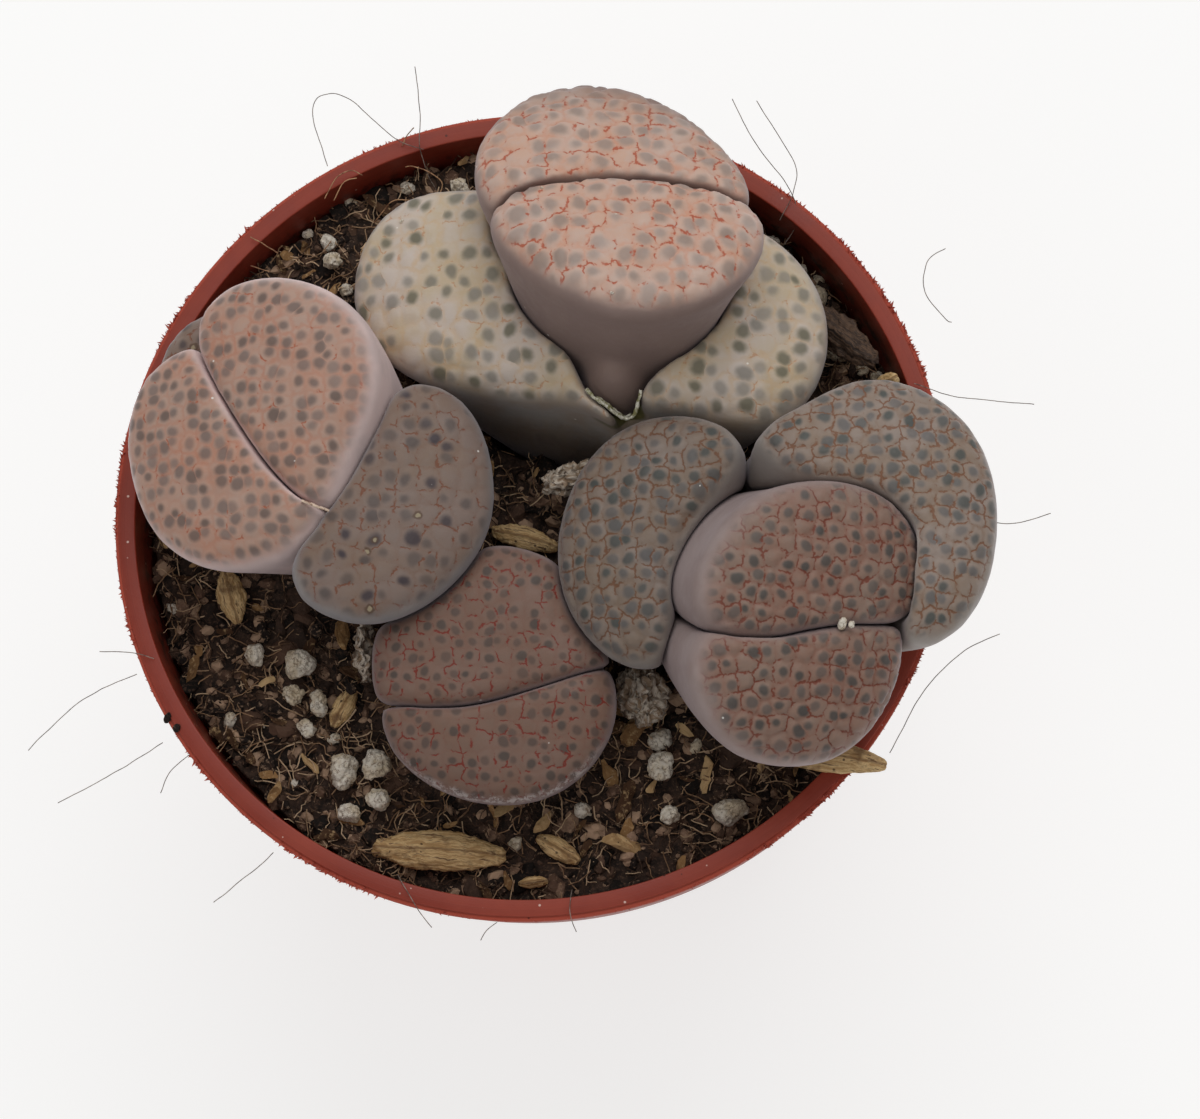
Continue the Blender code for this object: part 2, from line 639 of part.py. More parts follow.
def make_flake(name, start, end, width, arch, roll):
    # A long lens of even thickness, arched along and across, pointed at both ends.
    start, end = Vector(start), Vector(end)
    along = (end - start).normalized()
    side = along.cross(Vector((0.0, 0.0, 1.0))).normalized()
    over = side.cross(along)
    spin = math.radians(roll)
    across = side * math.cos(spin) + over * math.sin(spin)
    lift = over * math.cos(spin) - side * math.sin(spin)
    bm = bmesh.new()
    sections = []
    for i in range(FLAKE_STEPS + 1):
        t = i / FLAKE_STEPS
        swell = math.sin(math.pi * (FLAKE_TIP + (1.0 - 2.0 * FLAKE_TIP) * t)) ** FLAKE_FULLNESS
        middle = start.lerp(end, t) + lift * (arch * math.sin(math.pi * t))
        half = across * (0.5 * width * swell)
        rise = lift * (FLAKE_RISE * width * swell)
        thick = lift * FLAKE_THICKNESS
        sections.append([bm.verts.new(point) for point in (
            middle - half, middle + rise, middle + half,
            middle + half - thick, middle + rise - thick, middle - half - thick)])
    join_rings(bm, sections)
    bm.faces.new(sections[0])
    bm.faces.new(sections[-1])
    colour = FLAKE_COLOURS.get(name, HUSK_COLOUR)
    return add_object(name, bm, make_material(name + " dry", colour, 0.8), 60.0)


def make_remains(name, centre, half_sizes, turn, colour):
    # A crumpled lump: a sphere with a few soft folds.
    bm = bmesh.new()
    made = bmesh.ops.create_icosphere(bm, subdivisions=2, radius=1.0)
    spin = math.radians(turn)
    for vert in made["verts"]:
        waves = [vert.co[k] * FOLD_WAVES[k] for k in range(3)]
        fold = 1.0 + FOLD_DEPTH * math.sin(waves[0] + waves[2]) * math.cos(waves[1])
        x, y, z = (vert.co[k] * half_sizes[k] * fold for k in range(3))
        vert.co = Vector(centre) + Vector((x * math.cos(spin) - y * math.sin(spin),
                                           x * math.sin(spin) + y * math.cos(spin), z))
    return add_object(name, bm, make_material(name + " dry", colour, 0.85), 60.0)


def main():
    clear_scene()
    make_pot()
    make_soil(make_leaves())
    for number, (x, y, radius) in enumerate(GRAINS, 1):
        make_grain(number, x, y, radius)
    for name, (start, end, width, arch, roll) in FLAKES.items():
        make_flake(name, start, end, width, arch, roll)
    for name, (centre, half_sizes, turn, colour) in REMAINS.items():
        make_remains(name, centre, half_sizes, turn, colour)


main()
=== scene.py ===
import math

import bmesh
import bpy
import numpy as np
from mathutils import Matrix, Vector


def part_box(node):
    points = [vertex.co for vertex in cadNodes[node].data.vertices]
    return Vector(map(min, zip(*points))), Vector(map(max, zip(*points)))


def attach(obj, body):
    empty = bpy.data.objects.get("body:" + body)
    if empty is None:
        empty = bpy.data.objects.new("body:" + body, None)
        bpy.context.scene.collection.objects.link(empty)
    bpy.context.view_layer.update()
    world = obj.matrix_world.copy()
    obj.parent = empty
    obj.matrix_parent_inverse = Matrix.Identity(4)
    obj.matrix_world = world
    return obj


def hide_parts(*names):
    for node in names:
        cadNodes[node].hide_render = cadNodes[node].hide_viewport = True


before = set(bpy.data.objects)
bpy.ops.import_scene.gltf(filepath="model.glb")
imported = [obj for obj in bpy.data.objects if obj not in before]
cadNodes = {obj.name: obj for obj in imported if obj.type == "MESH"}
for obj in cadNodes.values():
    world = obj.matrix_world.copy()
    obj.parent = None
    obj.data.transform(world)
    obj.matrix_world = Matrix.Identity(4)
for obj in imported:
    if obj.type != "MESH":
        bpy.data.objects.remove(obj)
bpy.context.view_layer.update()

mm = 0.001
origin = (0.0, 0.0, 0.0)
print("frame loaded,", len(cadNodes), "nodes")


def paint(red, green, blue):
    # a colour as a screen shows it, made linear
    channels = [v / 255.0 for v in (red, green, blue)]
    linear = [v / 12.92 if v <= 0.04045 else ((v + 0.055) / 1.055) ** 2.4 for v in channels]
    return (*linear, 1.0)


# node helpers for shader and geometry trees: most find their tree from a socket they are given

def pick(sockets, key):
    if isinstance(key, int):
        return sockets[key]
    return next(s for s in sockets if s.name == key and s.enabled)


def setInput(tree, socket, value):
    if isinstance(value, bpy.types.NodeSocket):
        tree.links.new(value, socket)
    else:
        socket.default_value = value


def addNode(tree, kind, inputs=None, **settings):
    node = tree.nodes.new(kind)
    for key, value in settings.items():
        setattr(node, key, value)
    for key, value in (inputs or {}).items():
        setInput(tree, pick(node.inputs, key), value)
    return node


def treeOf(*values):
    return next(v.id_data for v in values if isinstance(v, bpy.types.NodeSocket))


def calc(operation, *values, clamp=False):
    return addNode(treeOf(*values), "ShaderNodeMath", dict(enumerate(values)), operation=operation,
                   use_clamp=clamp).outputs[0]


def times(first, second, clamp=False):
    return calc("MULTIPLY", first, second, clamp=clamp)


def plus(first, second):
    return calc("ADD", first, second)


def minus(first, second):
    return calc("SUBTRACT", first, second)


def vecCalc(operation, *values):
    node = addNode(treeOf(*values), "ShaderNodeVectorMath", dict(enumerate(values)),
                   operation=operation)
    return node.outputs["Value" if operation in ("DOT_PRODUCT", "LENGTH") else "Vector"]


def scaled(vector, factor):
    node = addNode(treeOf(vector), "ShaderNodeVectorMath", {0: vector, "Scale": factor},
                   operation="SCALE")
    return node.outputs["Vector"]


def mapped(value, fromMin, fromMax, toMin=0.0, toMax=1.0, smooth=True):
    inputs = {"Value": value, "From Min": fromMin, "From Max": fromMax, "To Min": toMin,
              "To Max": toMax}
    kind = "SMOOTHSTEP" if smooth else "LINEAR"
    return addNode(treeOf(value), "ShaderNodeMapRange", inputs, interpolation_type=kind).outputs[0]


def mixed(factor, first, second):
    node = addNode(treeOf(factor), "ShaderNodeMix", {"Factor": factor, "A": first, "B": second},
                   data_type="RGBA")
    return pick(node.outputs, "Result")


def noiseTex(place, scale, detail=2.0, roughness=0.5, output=0, dims="3D"):
    # output 0 is one value, output 1 is a colour that also serves as a vector
    inputs = {"Vector": place, "Scale": scale, "Detail": detail, "Roughness": roughness}
    node = addNode(treeOf(place), "ShaderNodeTexNoise", inputs, noise_dimensions=dims)
    return node.outputs[output]


def voronoi(place, scale, feature="F1", randomness=0.85, dims="2D"):
    inputs = {"Vector": place, "Scale": scale, "Randomness": randomness}
    return addNode(treeOf(place), "ShaderNodeTexVoronoi", inputs, feature=feature,
                   voronoi_dimensions=dims)


def combined(x, y, z):
    return addNode(treeOf(x, y, z), "ShaderNodeCombineXYZ", {0: x, 1: y, 2: z}).outputs[0]


def axisOf(vector, axis):
    return addNode(treeOf(vector), "ShaderNodeSeparateXYZ", {0: vector}).outputs["XYZ".index(axis)]


def channelsOf(colour):
    return addNode(treeOf(colour), "ShaderNodeSeparateColor", {0: colour}).outputs


def stored(tree, name, output="Vector"):
    # an attribute of the piece, read in a material
    return addNode(tree, "ShaderNodeAttribute", None, attribute_name=name).outputs[output]


def addSockets(tree, way, sockets):
    # the kind of a socket follows from its default value
    kinds = {int: "Int", float: "Float", tuple: "Vector"}
    for title, default in sockets.items():
        kind = "NodeSocket" + kinds.get(type(default), "Material")
        socket = tree.interface.new_socket(title, in_out=way, socket_type=kind)
        if default is not None:
            socket.default_value = default


def newGroup(name, inputs, outputs):
    # a shader group with named inputs, whose outputs are all single values
    group = bpy.data.node_groups.new(name, "ShaderNodeTree")
    addSockets(group, "INPUT", inputs)
    addSockets(group, "OUTPUT", dict.fromkeys(outputs, 0.0))
    given = group.nodes.new("NodeGroupInput").outputs
    result = group.nodes.new("NodeGroupOutput").inputs
    return group, given, result


def useGroup(tree, group, **inputs):
    return addNode(tree, "ShaderNodeGroup", inputs, node_tree=group).outputs


def newMaterial(name, **sockets):
    # its last result is the place on the piece in millimetres
    material = bpy.data.materials.new(name)
    material.use_nodes = True
    tree = material.node_tree
    shader = tree.nodes["Principled BSDF"]
    for title, value in sockets.items():
        shader.inputs[title.replace("_", " ")].default_value = value
    place = scaled(addNode(tree, "ShaderNodeTexCoord").outputs["Object"], 1000.0)
    return material, shader, place


def paintWith(shader, colour, roughness=None):
    tree = treeOf(colour)
    tree.links.new(colour, shader.inputs["Base Color"])
    if roughness:
        tree.links.new(roughness, shader.inputs["Roughness"])


def dusted(colour, place, spacing, size, share, strength, tint):
    # specks of a second colour: spacing and size in millimetres, and the share of them that shows
    tree = treeOf(place)
    specks = useGroup(tree, dustGroup, Place=place, Spacing=spacing, Size=size, Share=share)[0]
    return mixed(times(specks, strength), colour, tint)


def setBump(shader, height, strength, distance):
    inputs = {"Height": height, "Strength": strength, "Distance": distance}
    bump = addNode(treeOf(height), "ShaderNodeBump", inputs)
    treeOf(height).links.new(bump.outputs[0], shader.inputs["Normal"])


def newTree(name, **inputs):
    # a geometry tree with named inputs
    tree = bpy.data.node_groups.new(name, "GeometryNodeTree")
    tree.interface.new_socket("Geometry", in_out="INPUT", socket_type="NodeSocketGeometry")
    addSockets(tree, "INPUT", inputs)
    tree.interface.new_socket("Geometry", in_out="OUTPUT", socket_type="NodeSocketGeometry")
    return tree, tree.nodes.new("NodeGroupInput").outputs


def built(tree, kind, **given):
    # one geometry node: capitalised names are its inputs, with _ for a space, others its settings
    inputs = {title.replace("_", " "): v for title, v in given.items() if title[0].isupper()}
    settings = {title: v for title, v in given.items() if not title[0].isupper()}
    return addNode(tree, "GeometryNode" + kind, inputs, **settings).outputs[0]


def field(tree, name):
    return addNode(tree, "GeometryNodeInput" + name).outputs[0]


def attribute(tree, name, kind):
    node = addNode(tree, "GeometryNodeInputNamedAttribute", {"Name": name}, data_type=kind)
    return pick(node.outputs, "Attribute")


def endTree(tree, geometry, material):
    real = built(tree, "RealizeInstances", Geometry=geometry)
    done = built(tree, "SetMaterial", Geometry=real, Material=material)
    addNode(tree, "NodeGroupOutput", {0: done})


def moved(tree, geometry, offset):
    return built(tree, "SetPosition", Geometry=geometry, Offset=offset)


def blurred(tree, value, rounds, kind):
    node = addNode(tree, "GeometryNodeBlurAttribute", {"Value": value, "Iterations": rounds},
                   data_type=kind)
    return pick(node.outputs, "Value")


def randomValue(tree, low, high, seed, kind="FLOAT"):
    node = addNode(tree, "FunctionNodeRandomValue", {"Min": low, "Max": high, "Seed": seed},
                   data_type=kind)
    return pick(node.outputs, "Value")


# piece helpers

def newPiece(name, mesh):
    piece = bpy.data.objects.new(name, mesh)
    bpy.context.scene.collection.objects.link(piece)
    return piece


def settle(piece):
    # the evaluated shape becomes the piece's own mesh
    bpy.context.view_layer.update()
    depsgraph = bpy.context.evaluated_depsgraph_get()
    mesh = bpy.data.meshes.new_from_object(piece.evaluated_get(depsgraph))
    mesh.name = piece.name
    piece.modifiers.clear()
    piece.data = mesh
    return piece


def grow(piece, tree, **values):
    # runs a geometry tree on the piece and keeps its result
    modifier = piece.modifiers.new(tree.name, "NODES")
    modifier.node_group = tree
    for item in tree.interface.items_tree:
        if item.item_type == "SOCKET" and item.in_out == "INPUT" and item.name in values:
            modifier[item.identifier] = values[item.name]
    return settle(piece)


def placesOf(piece):
    # the places of its points, one row each
    places = np.empty(len(piece.data.vertices) * 3)
    piece.data.vertices.foreach_get("co", places)
    return places.reshape(-1, 3)


def finishPiece(piece, slot, *nodes, smooth=True):
    if smooth:
        piece.data.shade_smooth()
    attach(piece, "root")
    if nodes:
        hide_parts(*nodes)
    return piece


def meshFrom(bm, name):
    mesh = bpy.data.meshes.new(name)
    bm.to_mesh(mesh)
    bm.free()
    return mesh


def mergedCopy(name, *nodes):
    # one clean mesh from loose-triangle nodes
    bm = bmesh.new()
    for node in nodes:
        bm.from_mesh(cadNodes[node].data)
    bmesh.ops.remove_doubles(bm, verts=bm.verts, dist=1e-6)
    return newPiece(name, meshFrom(bm, name))


def cutAway(piece, cutter):
    cut = piece.modifiers.new("cut", "BOOLEAN")
    cut.solver = "EXACT"
    cut.object = cutter
    settle(piece)
    bpy.data.objects.remove(cutter)


def remeshed(piece, size):
    remesh = piece.modifiers.new("even", "REMESH")
    remesh.mode = "VOXEL"
    remesh.voxel_size = size
    return settle(piece)


# shared finish: fine dust, as specks of one size on some of the cells

dustGroup, given, result = newGroup("paleDust", {
    "Place": origin, "Spacing": 2.0, "Size": 0.06, "Share": 0.3}, ["Specks"])
specks = voronoi(given["Place"], calc("DIVIDE", 1.0, given["Spacing"]), randomness=1.0, dims="3D")
speckSize = calc("DIVIDE", given["Size"], given["Spacing"])
near = mapped(specks.outputs["Distance"], speckSize, times(speckSize, 1.6), 1.0, 0.0)
chance = channelsOf(specks.outputs["Color"])[0]
dustGroup.links.new(times(near, calc("LESS_THAN", chance, given["Share"])), result["Specks"])

# light, floor and camera

studio = {
    "cameraAt": (26.305, -91.137, 379.5), "lookAt": (5.388, -3.884, 51.482), "lens": 131.3,
    "skyTop": 0.5, "skyLow": 0.12, "keyAt": (60, 290, 480), "keySize": 0.42, "keyPower": 1.15,
    "fillAt": (-260, -300, 420), "fillSize": 0.4, "fillPower": 0.2,
    "paper": (paint(158, 158, 157), paint(162, 162, 161)), "paperGlow": 0.7, "paperSize": 1.5,
}
scene = bpy.context.scene
scene.view_settings.view_transform = "Standard"
world = bpy.data.worlds.new("studio")
scene.world = world
world.use_nodes = True
sky = world.node_tree
overhead = axisOf(addNode(sky, "ShaderNodeTexCoord").outputs["Generated"], "Z")
sky.nodes["Background"].inputs[0].default_value = (1.0, 0.995, 0.985, 1.0)
sky.links.new(mapped(overhead, 0.0, 0.9, studio["skyLow"], studio["skyTop"]),
              sky.nodes["Background"].inputs[1])


def aimed(place, target):
    # the matrix of something at place that looks at target, with +Y up in its view
    back = (Vector(place) - Vector(target)).normalized()
    right = Vector((0.0, 1.0, 0.0)).cross(back).normalized()
    up = back.cross(right)
    turn = Matrix((right, up, back)).transposed().to_4x4()
    return Matrix.Translation(Vector(place) * mm) @ turn


for title in ("key", "fill"):
    lamp = bpy.data.lights.new(title, "AREA")
    lamp.size = studio[title + "Size"]
    lamp.energy = studio[title + "Power"]
    lampObject = bpy.data.objects.new(title, lamp)
    scene.collection.objects.link(lampObject)
    lampObject.matrix_world = aimed(studio[title + "At"], (0, 0, 50))

cameraData = bpy.data.cameras.new("camera")
cameraData.lens = studio["lens"]
cameraData.sensor_width = 36.0
cameraData.clip_start = 0.01
camera = bpy.data.objects.new("camera", cameraData)
scene.collection.objects.link(camera)
camera.matrix_world = aimed(studio["cameraAt"], studio["lookAt"])
scene.camera = camera

bm = bmesh.new()
bmesh.ops.create_grid(bm, x_segments=1, y_segments=1, size=studio["paperSize"])
floor = newPiece("floor", meshFrom(bm, "floor"))
floorMaterial, shader, place = newMaterial(
    "floor paper", Roughness=0.9, Emission_Color=(1.0, 1.0, 0.995, 1.0),
    Emission_Strength=studio["paperGlow"])
paintWith(shader, mixed(noiseTex(place, 0.02), *studio["paper"]))
floor.data.materials.append(floorMaterial)
print("studio ready")

# pot

potSettings = {
    "sides": 256, "lip": 0.3, "lipDrop": 0.25, "flange": 1.3, "flangeThick": 0.8, "wall": 0.9,
    "collarFoot": 44.0, "collarStep": 1.0, "collarTaper": 0.6, "stepRise": 0.5,
    "baseThick": 1.0, "baseRadius": 22.5, "heel": 0.7, "heelFlat": 2.2, "drains": 8,
    "drainRadius": 2.5, "drainCircle": 14.0, "edge": 0.12, "sharpAngle": 35,
    "plastic": paint(137, 50, 34), "worn": paint(162, 72, 54), "dark": paint(100, 35, 24),
    "fray": paint(178, 80, 62), "grimeAndShade": paint(52, 30, 22), "dust": paint(232, 205, 192),
    "dirt": paint(60, 30, 22), "burrs": 3400, "burr": 0.00042,
    "threadLight": paint(202, 108, 88), "threadDark": paint(166, 62, 46),
}
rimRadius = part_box("pot")[1].x / mm
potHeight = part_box("pot")[1].z / mm


def roundedProfile(points, radius, steps=3):
    # the profile with each inner corner turned into a small arc
    smooth = [Vector(points[0])]
    for before, corner, after in zip(points, points[1:], points[2:]):
        before, corner, after = Vector(before), Vector(corner), Vector(after)
        into, out = before - corner, after - corner
        reach = min(radius, 0.4 * into.length, 0.4 * out.length)
        start = corner + into.normalized() * reach
        end = corner + out.normalized() * reach
        for step in range(steps + 1):
            t = step / steps
            smooth.append(start * (1 - t) ** 2 + corner * (2 * t * (1 - t)) + end * t * t)
    smooth.append(Vector(points[-1]))
    return smooth


def turnedMesh(name, profile, sides):
    # both ends of the profile lie on the axis
    bm = bmesh.new()
    rings = []
    turns = [2.0 * math.pi * i / sides for i in range(sides)]
    for point in profile[1:-1]:
        rings.append([bm.verts.new((point.x * math.cos(a) * mm, point.x * math.sin(a) * mm,
                                    point.y * mm)) for a in turns])
    for low, high in zip(rings, rings[1:]):
        for i in range(sides):
            j = (i + 1) % sides
            bm.faces.new((low[i], low[j], high[j], high[i]))
    for ring, end in ((rings[0], profile[0]), (rings[-1], profile[-1])):
        tip = bm.verts.new((0.0, 0.0, end.y * mm))
        for i in range(sides):
            bm.faces.new((ring[i], ring[(i + 1) % sides], tip))
    bmesh.ops.recalc_face_normals(bm, faces=bm.faces)
    return meshFrom(bm, name)


def shoulderRadius(s):
    # radius of the outside just under the collar
    return rimRadius - s["lip"] - s["flange"] + s["wall"] - s["collarStep"] - s["collarTaper"]


def potProfile(s):
    # from the middle of the base, up the outside, over the lip and down the inside
    mouth = rimRadius - s["lip"] - s["flange"]
    shoulder = shoulderRadius(s)
    foot, wall = s["collarFoot"], s["wall"]
    inFoot = shoulder - wall
    under = potHeight - s["flangeThick"]
    flangeTop = potHeight - s["lipDrop"]
    baseSlope = (inFoot - s["baseRadius"] + wall) / foot
    return [
        (0, 0), (s["baseRadius"] - s["heelFlat"], 0), (s["baseRadius"] - s["heel"], 0),
        (s["baseRadius"], s["heel"]), (shoulder, foot),
        (shoulder + s["collarStep"], foot + s["stepRise"]),
        (mouth + wall, under - 0.5), (rimRadius, under), (rimRadius, flangeTop),
        (rimRadius - s["lip"], flangeTop + 0.02), (rimRadius - s["lip"], potHeight),
        (mouth, potHeight), (mouth - 0.03, potHeight - 0.5),
        (inFoot + s["collarStep"], foot + 0.6), (inFoot, foot - 0.4),
        (s["baseRadius"] - wall + baseSlope * s["baseThick"], s["baseThick"]),
        (0, s["baseThick"]),
    ]


def potMaterial(s):
    material, shader, place = newMaterial("satin terracotta plastic", Roughness=0.5,
                                          Specular_IOR_Level=0.28)
    across, along, up = [axisOf(place, axis) for axis in "XYZ"]
    radius = vecCalc("LENGTH", combined(across, along, 0.0))
    drawn = combined(times(radius, 9.0), 0.0, times(up, 1.6))
    rings = noiseTex(drawn, 1.0, 3.0, 0.6)  # moulding lines
    cloud = noiseTex(place, 0.16, 3.0, 0.6)
    colour = mixed(mapped(cloud, 0.35, 0.7, 0.0, 0.5), s["plastic"], s["worn"])
    colour = mixed(mapped(rings, 0.5, 0.75, 0.0, 0.35), colour, s["dark"])
    # the wall's own radius at each height tells its inside from its outside
    wallRadius = mapped(up, 0.0, s["collarFoot"], s["baseRadius"], shoulderRadius(s), smooth=False)
    wallRadius = plus(wallRadius, mapped(up, s["collarFoot"], s["collarFoot"] + s["stepRise"], 0.0,
                                         s["collarStep"], smooth=False))
    behind = minus(wallRadius, radius)
    # the inside wall grows darker below the lip: painted shade, partly dirt
    inside = times(mapped(behind, 0.3, 0.6), mapped(up, potHeight - 0.3, potHeight - 4.0))
    colour = mixed(times(inside, 0.7), colour, s["dark"])
    edge = mapped(radius, rimRadius - 0.45, rimRadius - 0.1)
    edge = times(edge, mapped(up, potHeight - 1.2, potHeight - 0.4))
    colour = mixed(edge, colour, s["fray"])
    # dark patches on the inside wall: dirt and painted shade
    grimeAndShade = times(inside, mapped(noiseTex(place, 0.9, 4.0, 0.7), 0.45, 0.62))
    colour = mixed(grimeAndShade, colour, s["grimeAndShade"])
    colour = dusted(colour, place, 0.9, 0.07, 0.22, 0.75, s["dust"])
    colour = dusted(colour, scaled(place, 1.13), 1.3, 0.09, 0.16, 0.8, s["dirt"])
    rough = mapped(cloud, 0.3, 0.7, 0.36, 0.52)
    paintWith(shader, colour, mixed(edge, rough, (0.8, 0.8, 0.8, 1.0)))
    height = plus(rings, times(noiseTex(place, 5.0, 2.0), 0.6))
    setBump(shader, height, 0.25, 0.00006)
    return material


def makePot(s, material):
    mesh = turnedMesh("flowerPot", roundedProfile(potProfile(s), s["edge"]), s["sides"])
    pot = newPiece("flowerPot", mesh)
    bm = bmesh.new()
    for i in range(s["drains"]):
        angle = 2.0 * math.pi * i / s["drains"]
        made = bmesh.ops.create_cone(bm, cap_ends=True, segments=32, depth=5 * mm,
                                     radius1=s["drainRadius"] * mm, radius2=s["drainRadius"] * mm)
        reach = s["drainCircle"] * mm
        place = (reach * math.cos(angle), reach * math.sin(angle), 0.0)
        bmesh.ops.translate(bm, verts=made["verts"], vec=place)
    cutAway(pot, newPiece("punch", meshFrom(bm, "punch")))
    pot.data.materials.clear()
    pot.data.materials.append(material)
    pot.data.shade_smooth()
    pot.data.set_sharp_from_angle(angle=math.radians(s["sharpAngle"]))
    return finishPiece(pot, "pot_plastic", "pot", smooth=False)


def frayTree(material):
    # tiny torn threads standing out of the lip
    tree, given = newTree("rimFray", Radius=0.03, Height=0.05, Count=1000, Burr=0.0002)
    circle = built(tree, "MeshCircle", Vertices=given["Count"], Radius=given["Radius"])
    spot = field(tree, "Position")
    patches = mapped(noiseTex(spot, 140.0, 2.0), 0.38, 0.68)
    shake = randomValue(tree, (-0.00008, -0.00008, -0.0003), (0.00008, 0.00008, 0.0), 3,
                        "FLOAT_VECTOR")
    lift = combined(0.0, 0.0, given["Height"])
    points = moved(tree, circle, vecCalc("ADD", lift, shake))
    burr = built(tree, "MeshCone", Vertices=3, Radius_Top=0.0,
                 Radius_Bottom=times(given["Burr"], 0.3), Depth=given["Burr"])
    stray = randomValue(tree, (-0.7, -0.7, -0.5), (0.7, 0.7, 0.9), 5, "FLOAT_VECTOR")
    outward = addNode(tree, "FunctionNodeAlignRotationToVector", {
        "Vector": vecCalc("ADD", vecCalc("NORMALIZE", spot), stray)}, axis="Z").outputs[0]
    size = times(mapped(patches, 0.0, 1.0, 0.35, 1.0), randomValue(tree, 0.3, 1.5, 9))
    burrs = built(tree, "InstanceOnPoints", Points=points, Instance=burr, Rotation=outward,
                  Scale=combined(size, size, size))
    endTree(tree, burrs, material)
    return tree


plastic = potMaterial(potSettings)
makePot(potSettings, plastic)
frayMaterial, shader, place = newMaterial("torn lip threads", Roughness=0.7)
paintWith(shader, mixed(noiseTex(place, 0.8), potSettings["threadLight"],
                        potSettings["threadDark"]))
rimFray = newPiece("rimFray", bpy.data.meshes.new("rimFray"))
grow(rimFray, frayTree(frayMaterial), Radius=(rimRadius - 0.1) * mm, Height=(potHeight - 0.3) * mm,
     Count=potSettings["burrs"], Burr=potSettings["burr"])
finishPiece(rimFray, "pot_plastic", smooth=False)
print("pot made")

# soil

soilSettings = {
    "voxel": 0.00048, "lump": 0.0009, "grit": 0.0004, "top": 0.0458, "colourScale": 0.9,
    "colours": (paint(32, 24, 20), paint(66, 50, 41), paint(114, 87, 70)),
    "dust": paint(190, 170, 150),
}
# what lies on the soil; size: an item at its smallest and largest; Density: items per square metre
scattered = {
    "soilCrumbs": {
        "slot": "peat", "finish": "peat crumbs", "shape": "lump", "size": (0.00012, 0.00062),
        "colours": (paint(32, 23, 19), paint(102, 77, 62), paint(186, 154, 128)),
        "colourScale": 0.55, "inputs": {"Density": 3.0e6, "Seed": 4, "Facets": 1, "Flatness": 0.7,
                                        "Length": 1.4, "Bend": 0.0006}},
    "soilClods": {
        "slot": "peat", "finish": "peat clods", "shape": "lump", "size": (0.0004, 0.0012),
        "colours": (paint(24, 18, 14), paint(58, 43, 35), paint(96, 72, 58)),
        "colourScale": 0.55, "inputs": {"Density": 0.3e6, "Seed": 8, "Facets": 2, "Flatness": 0.6,
                                        "Length": 1.25, "Bend": 0.0014, "Sink": -0.0001}},
    "soilFibres": {
        "slot": "peat", "finish": "peat fibres", "shape": "fibre", "size": (0.0007, 0.0034),
        "colours": (paint(70, 50, 38), paint(158, 124, 94), paint(214, 184, 150)),
        "colourScale": 0.35, "inputs": {"Density": 2.0e6, "Seed": 5, "Bend": 0.0013,
                                        "Sink": 0.0005}},
    "huskChips": {
        "slot": "dry_leaf", "finish": "husk chips", "shape": "lump", "size": (0.0002, 0.00062),
        "colours": (paint(74, 50, 32), paint(150, 114, 74), paint(206, 174, 128)),
        "colourScale": 0.45, "inputs": {"Density": 0.11e6, "Seed": 6, "Facets": 2,
                                        "Flatness": 0.22, "Length": 3.0, "Bend": 0.0012,
                                        "Sink": 0.0006}},
}
fibreRadius = 0.000055
aboveTop = 0.0003  # nothing is scattered lower than this over the soil's side walls


def soilMaterial(name, dark, mid, light, scale, toned=True):
    material, shader, place = newMaterial(name, Roughness=0.88, Specular_IOR_Level=0.3)
    coarse = noiseTex(place, scale, 4.0, 0.7)
    if toned:  # each small piece has its own tone
        tone = stored(treeOf(place), "tone", "Fac")
        coarse = plus(times(coarse, 0.35), times(tone, 0.64))
    fine = noiseTex(place, scale * 5.0, 3.0, 0.7)
    colour = mixed(mapped(coarse, 0.35, 0.6), dark, mid)
    colour = mixed(mapped(coarse, 0.6, 0.8), colour, light)
    colour = mixed(mapped(fine, 0.52, 0.72, 0.0, 0.7), colour, light)
    colour = dusted(colour, place, 1.1, 0.05, 0.12, 0.6, soilSettings["dust"])
    paintWith(shader, colour)
    setBump(shader, fine, 0.6, 0.0002)
    return material


def soilTree(material):
    tree, given = newTree("soilRelief", Lump=0.001, Grit=0.0004, Top=0.045)
    spot = field(tree, "Position")
    facing = axisOf(field(tree, "Normal"), "Z")
    height = axisOf(spot, "Z")
    where = times(mapped(facing, 0.3, 0.7), calc("GREATER_THAN", height, given["Top"]))
    big = times(minus(noiseTex(spot, 300.0, 2.0), 0.55), given["Lump"])
    small = times(minus(noiseTex(spot, 1300.0, 3.0), 0.5), given["Grit"])
    rise = times(plus(big, small), times(where, 2))
    shaped = moved(tree, given["Geometry"], combined(0.0, 0.0, rise))
    endTree(tree, shaped, material)
    return tree


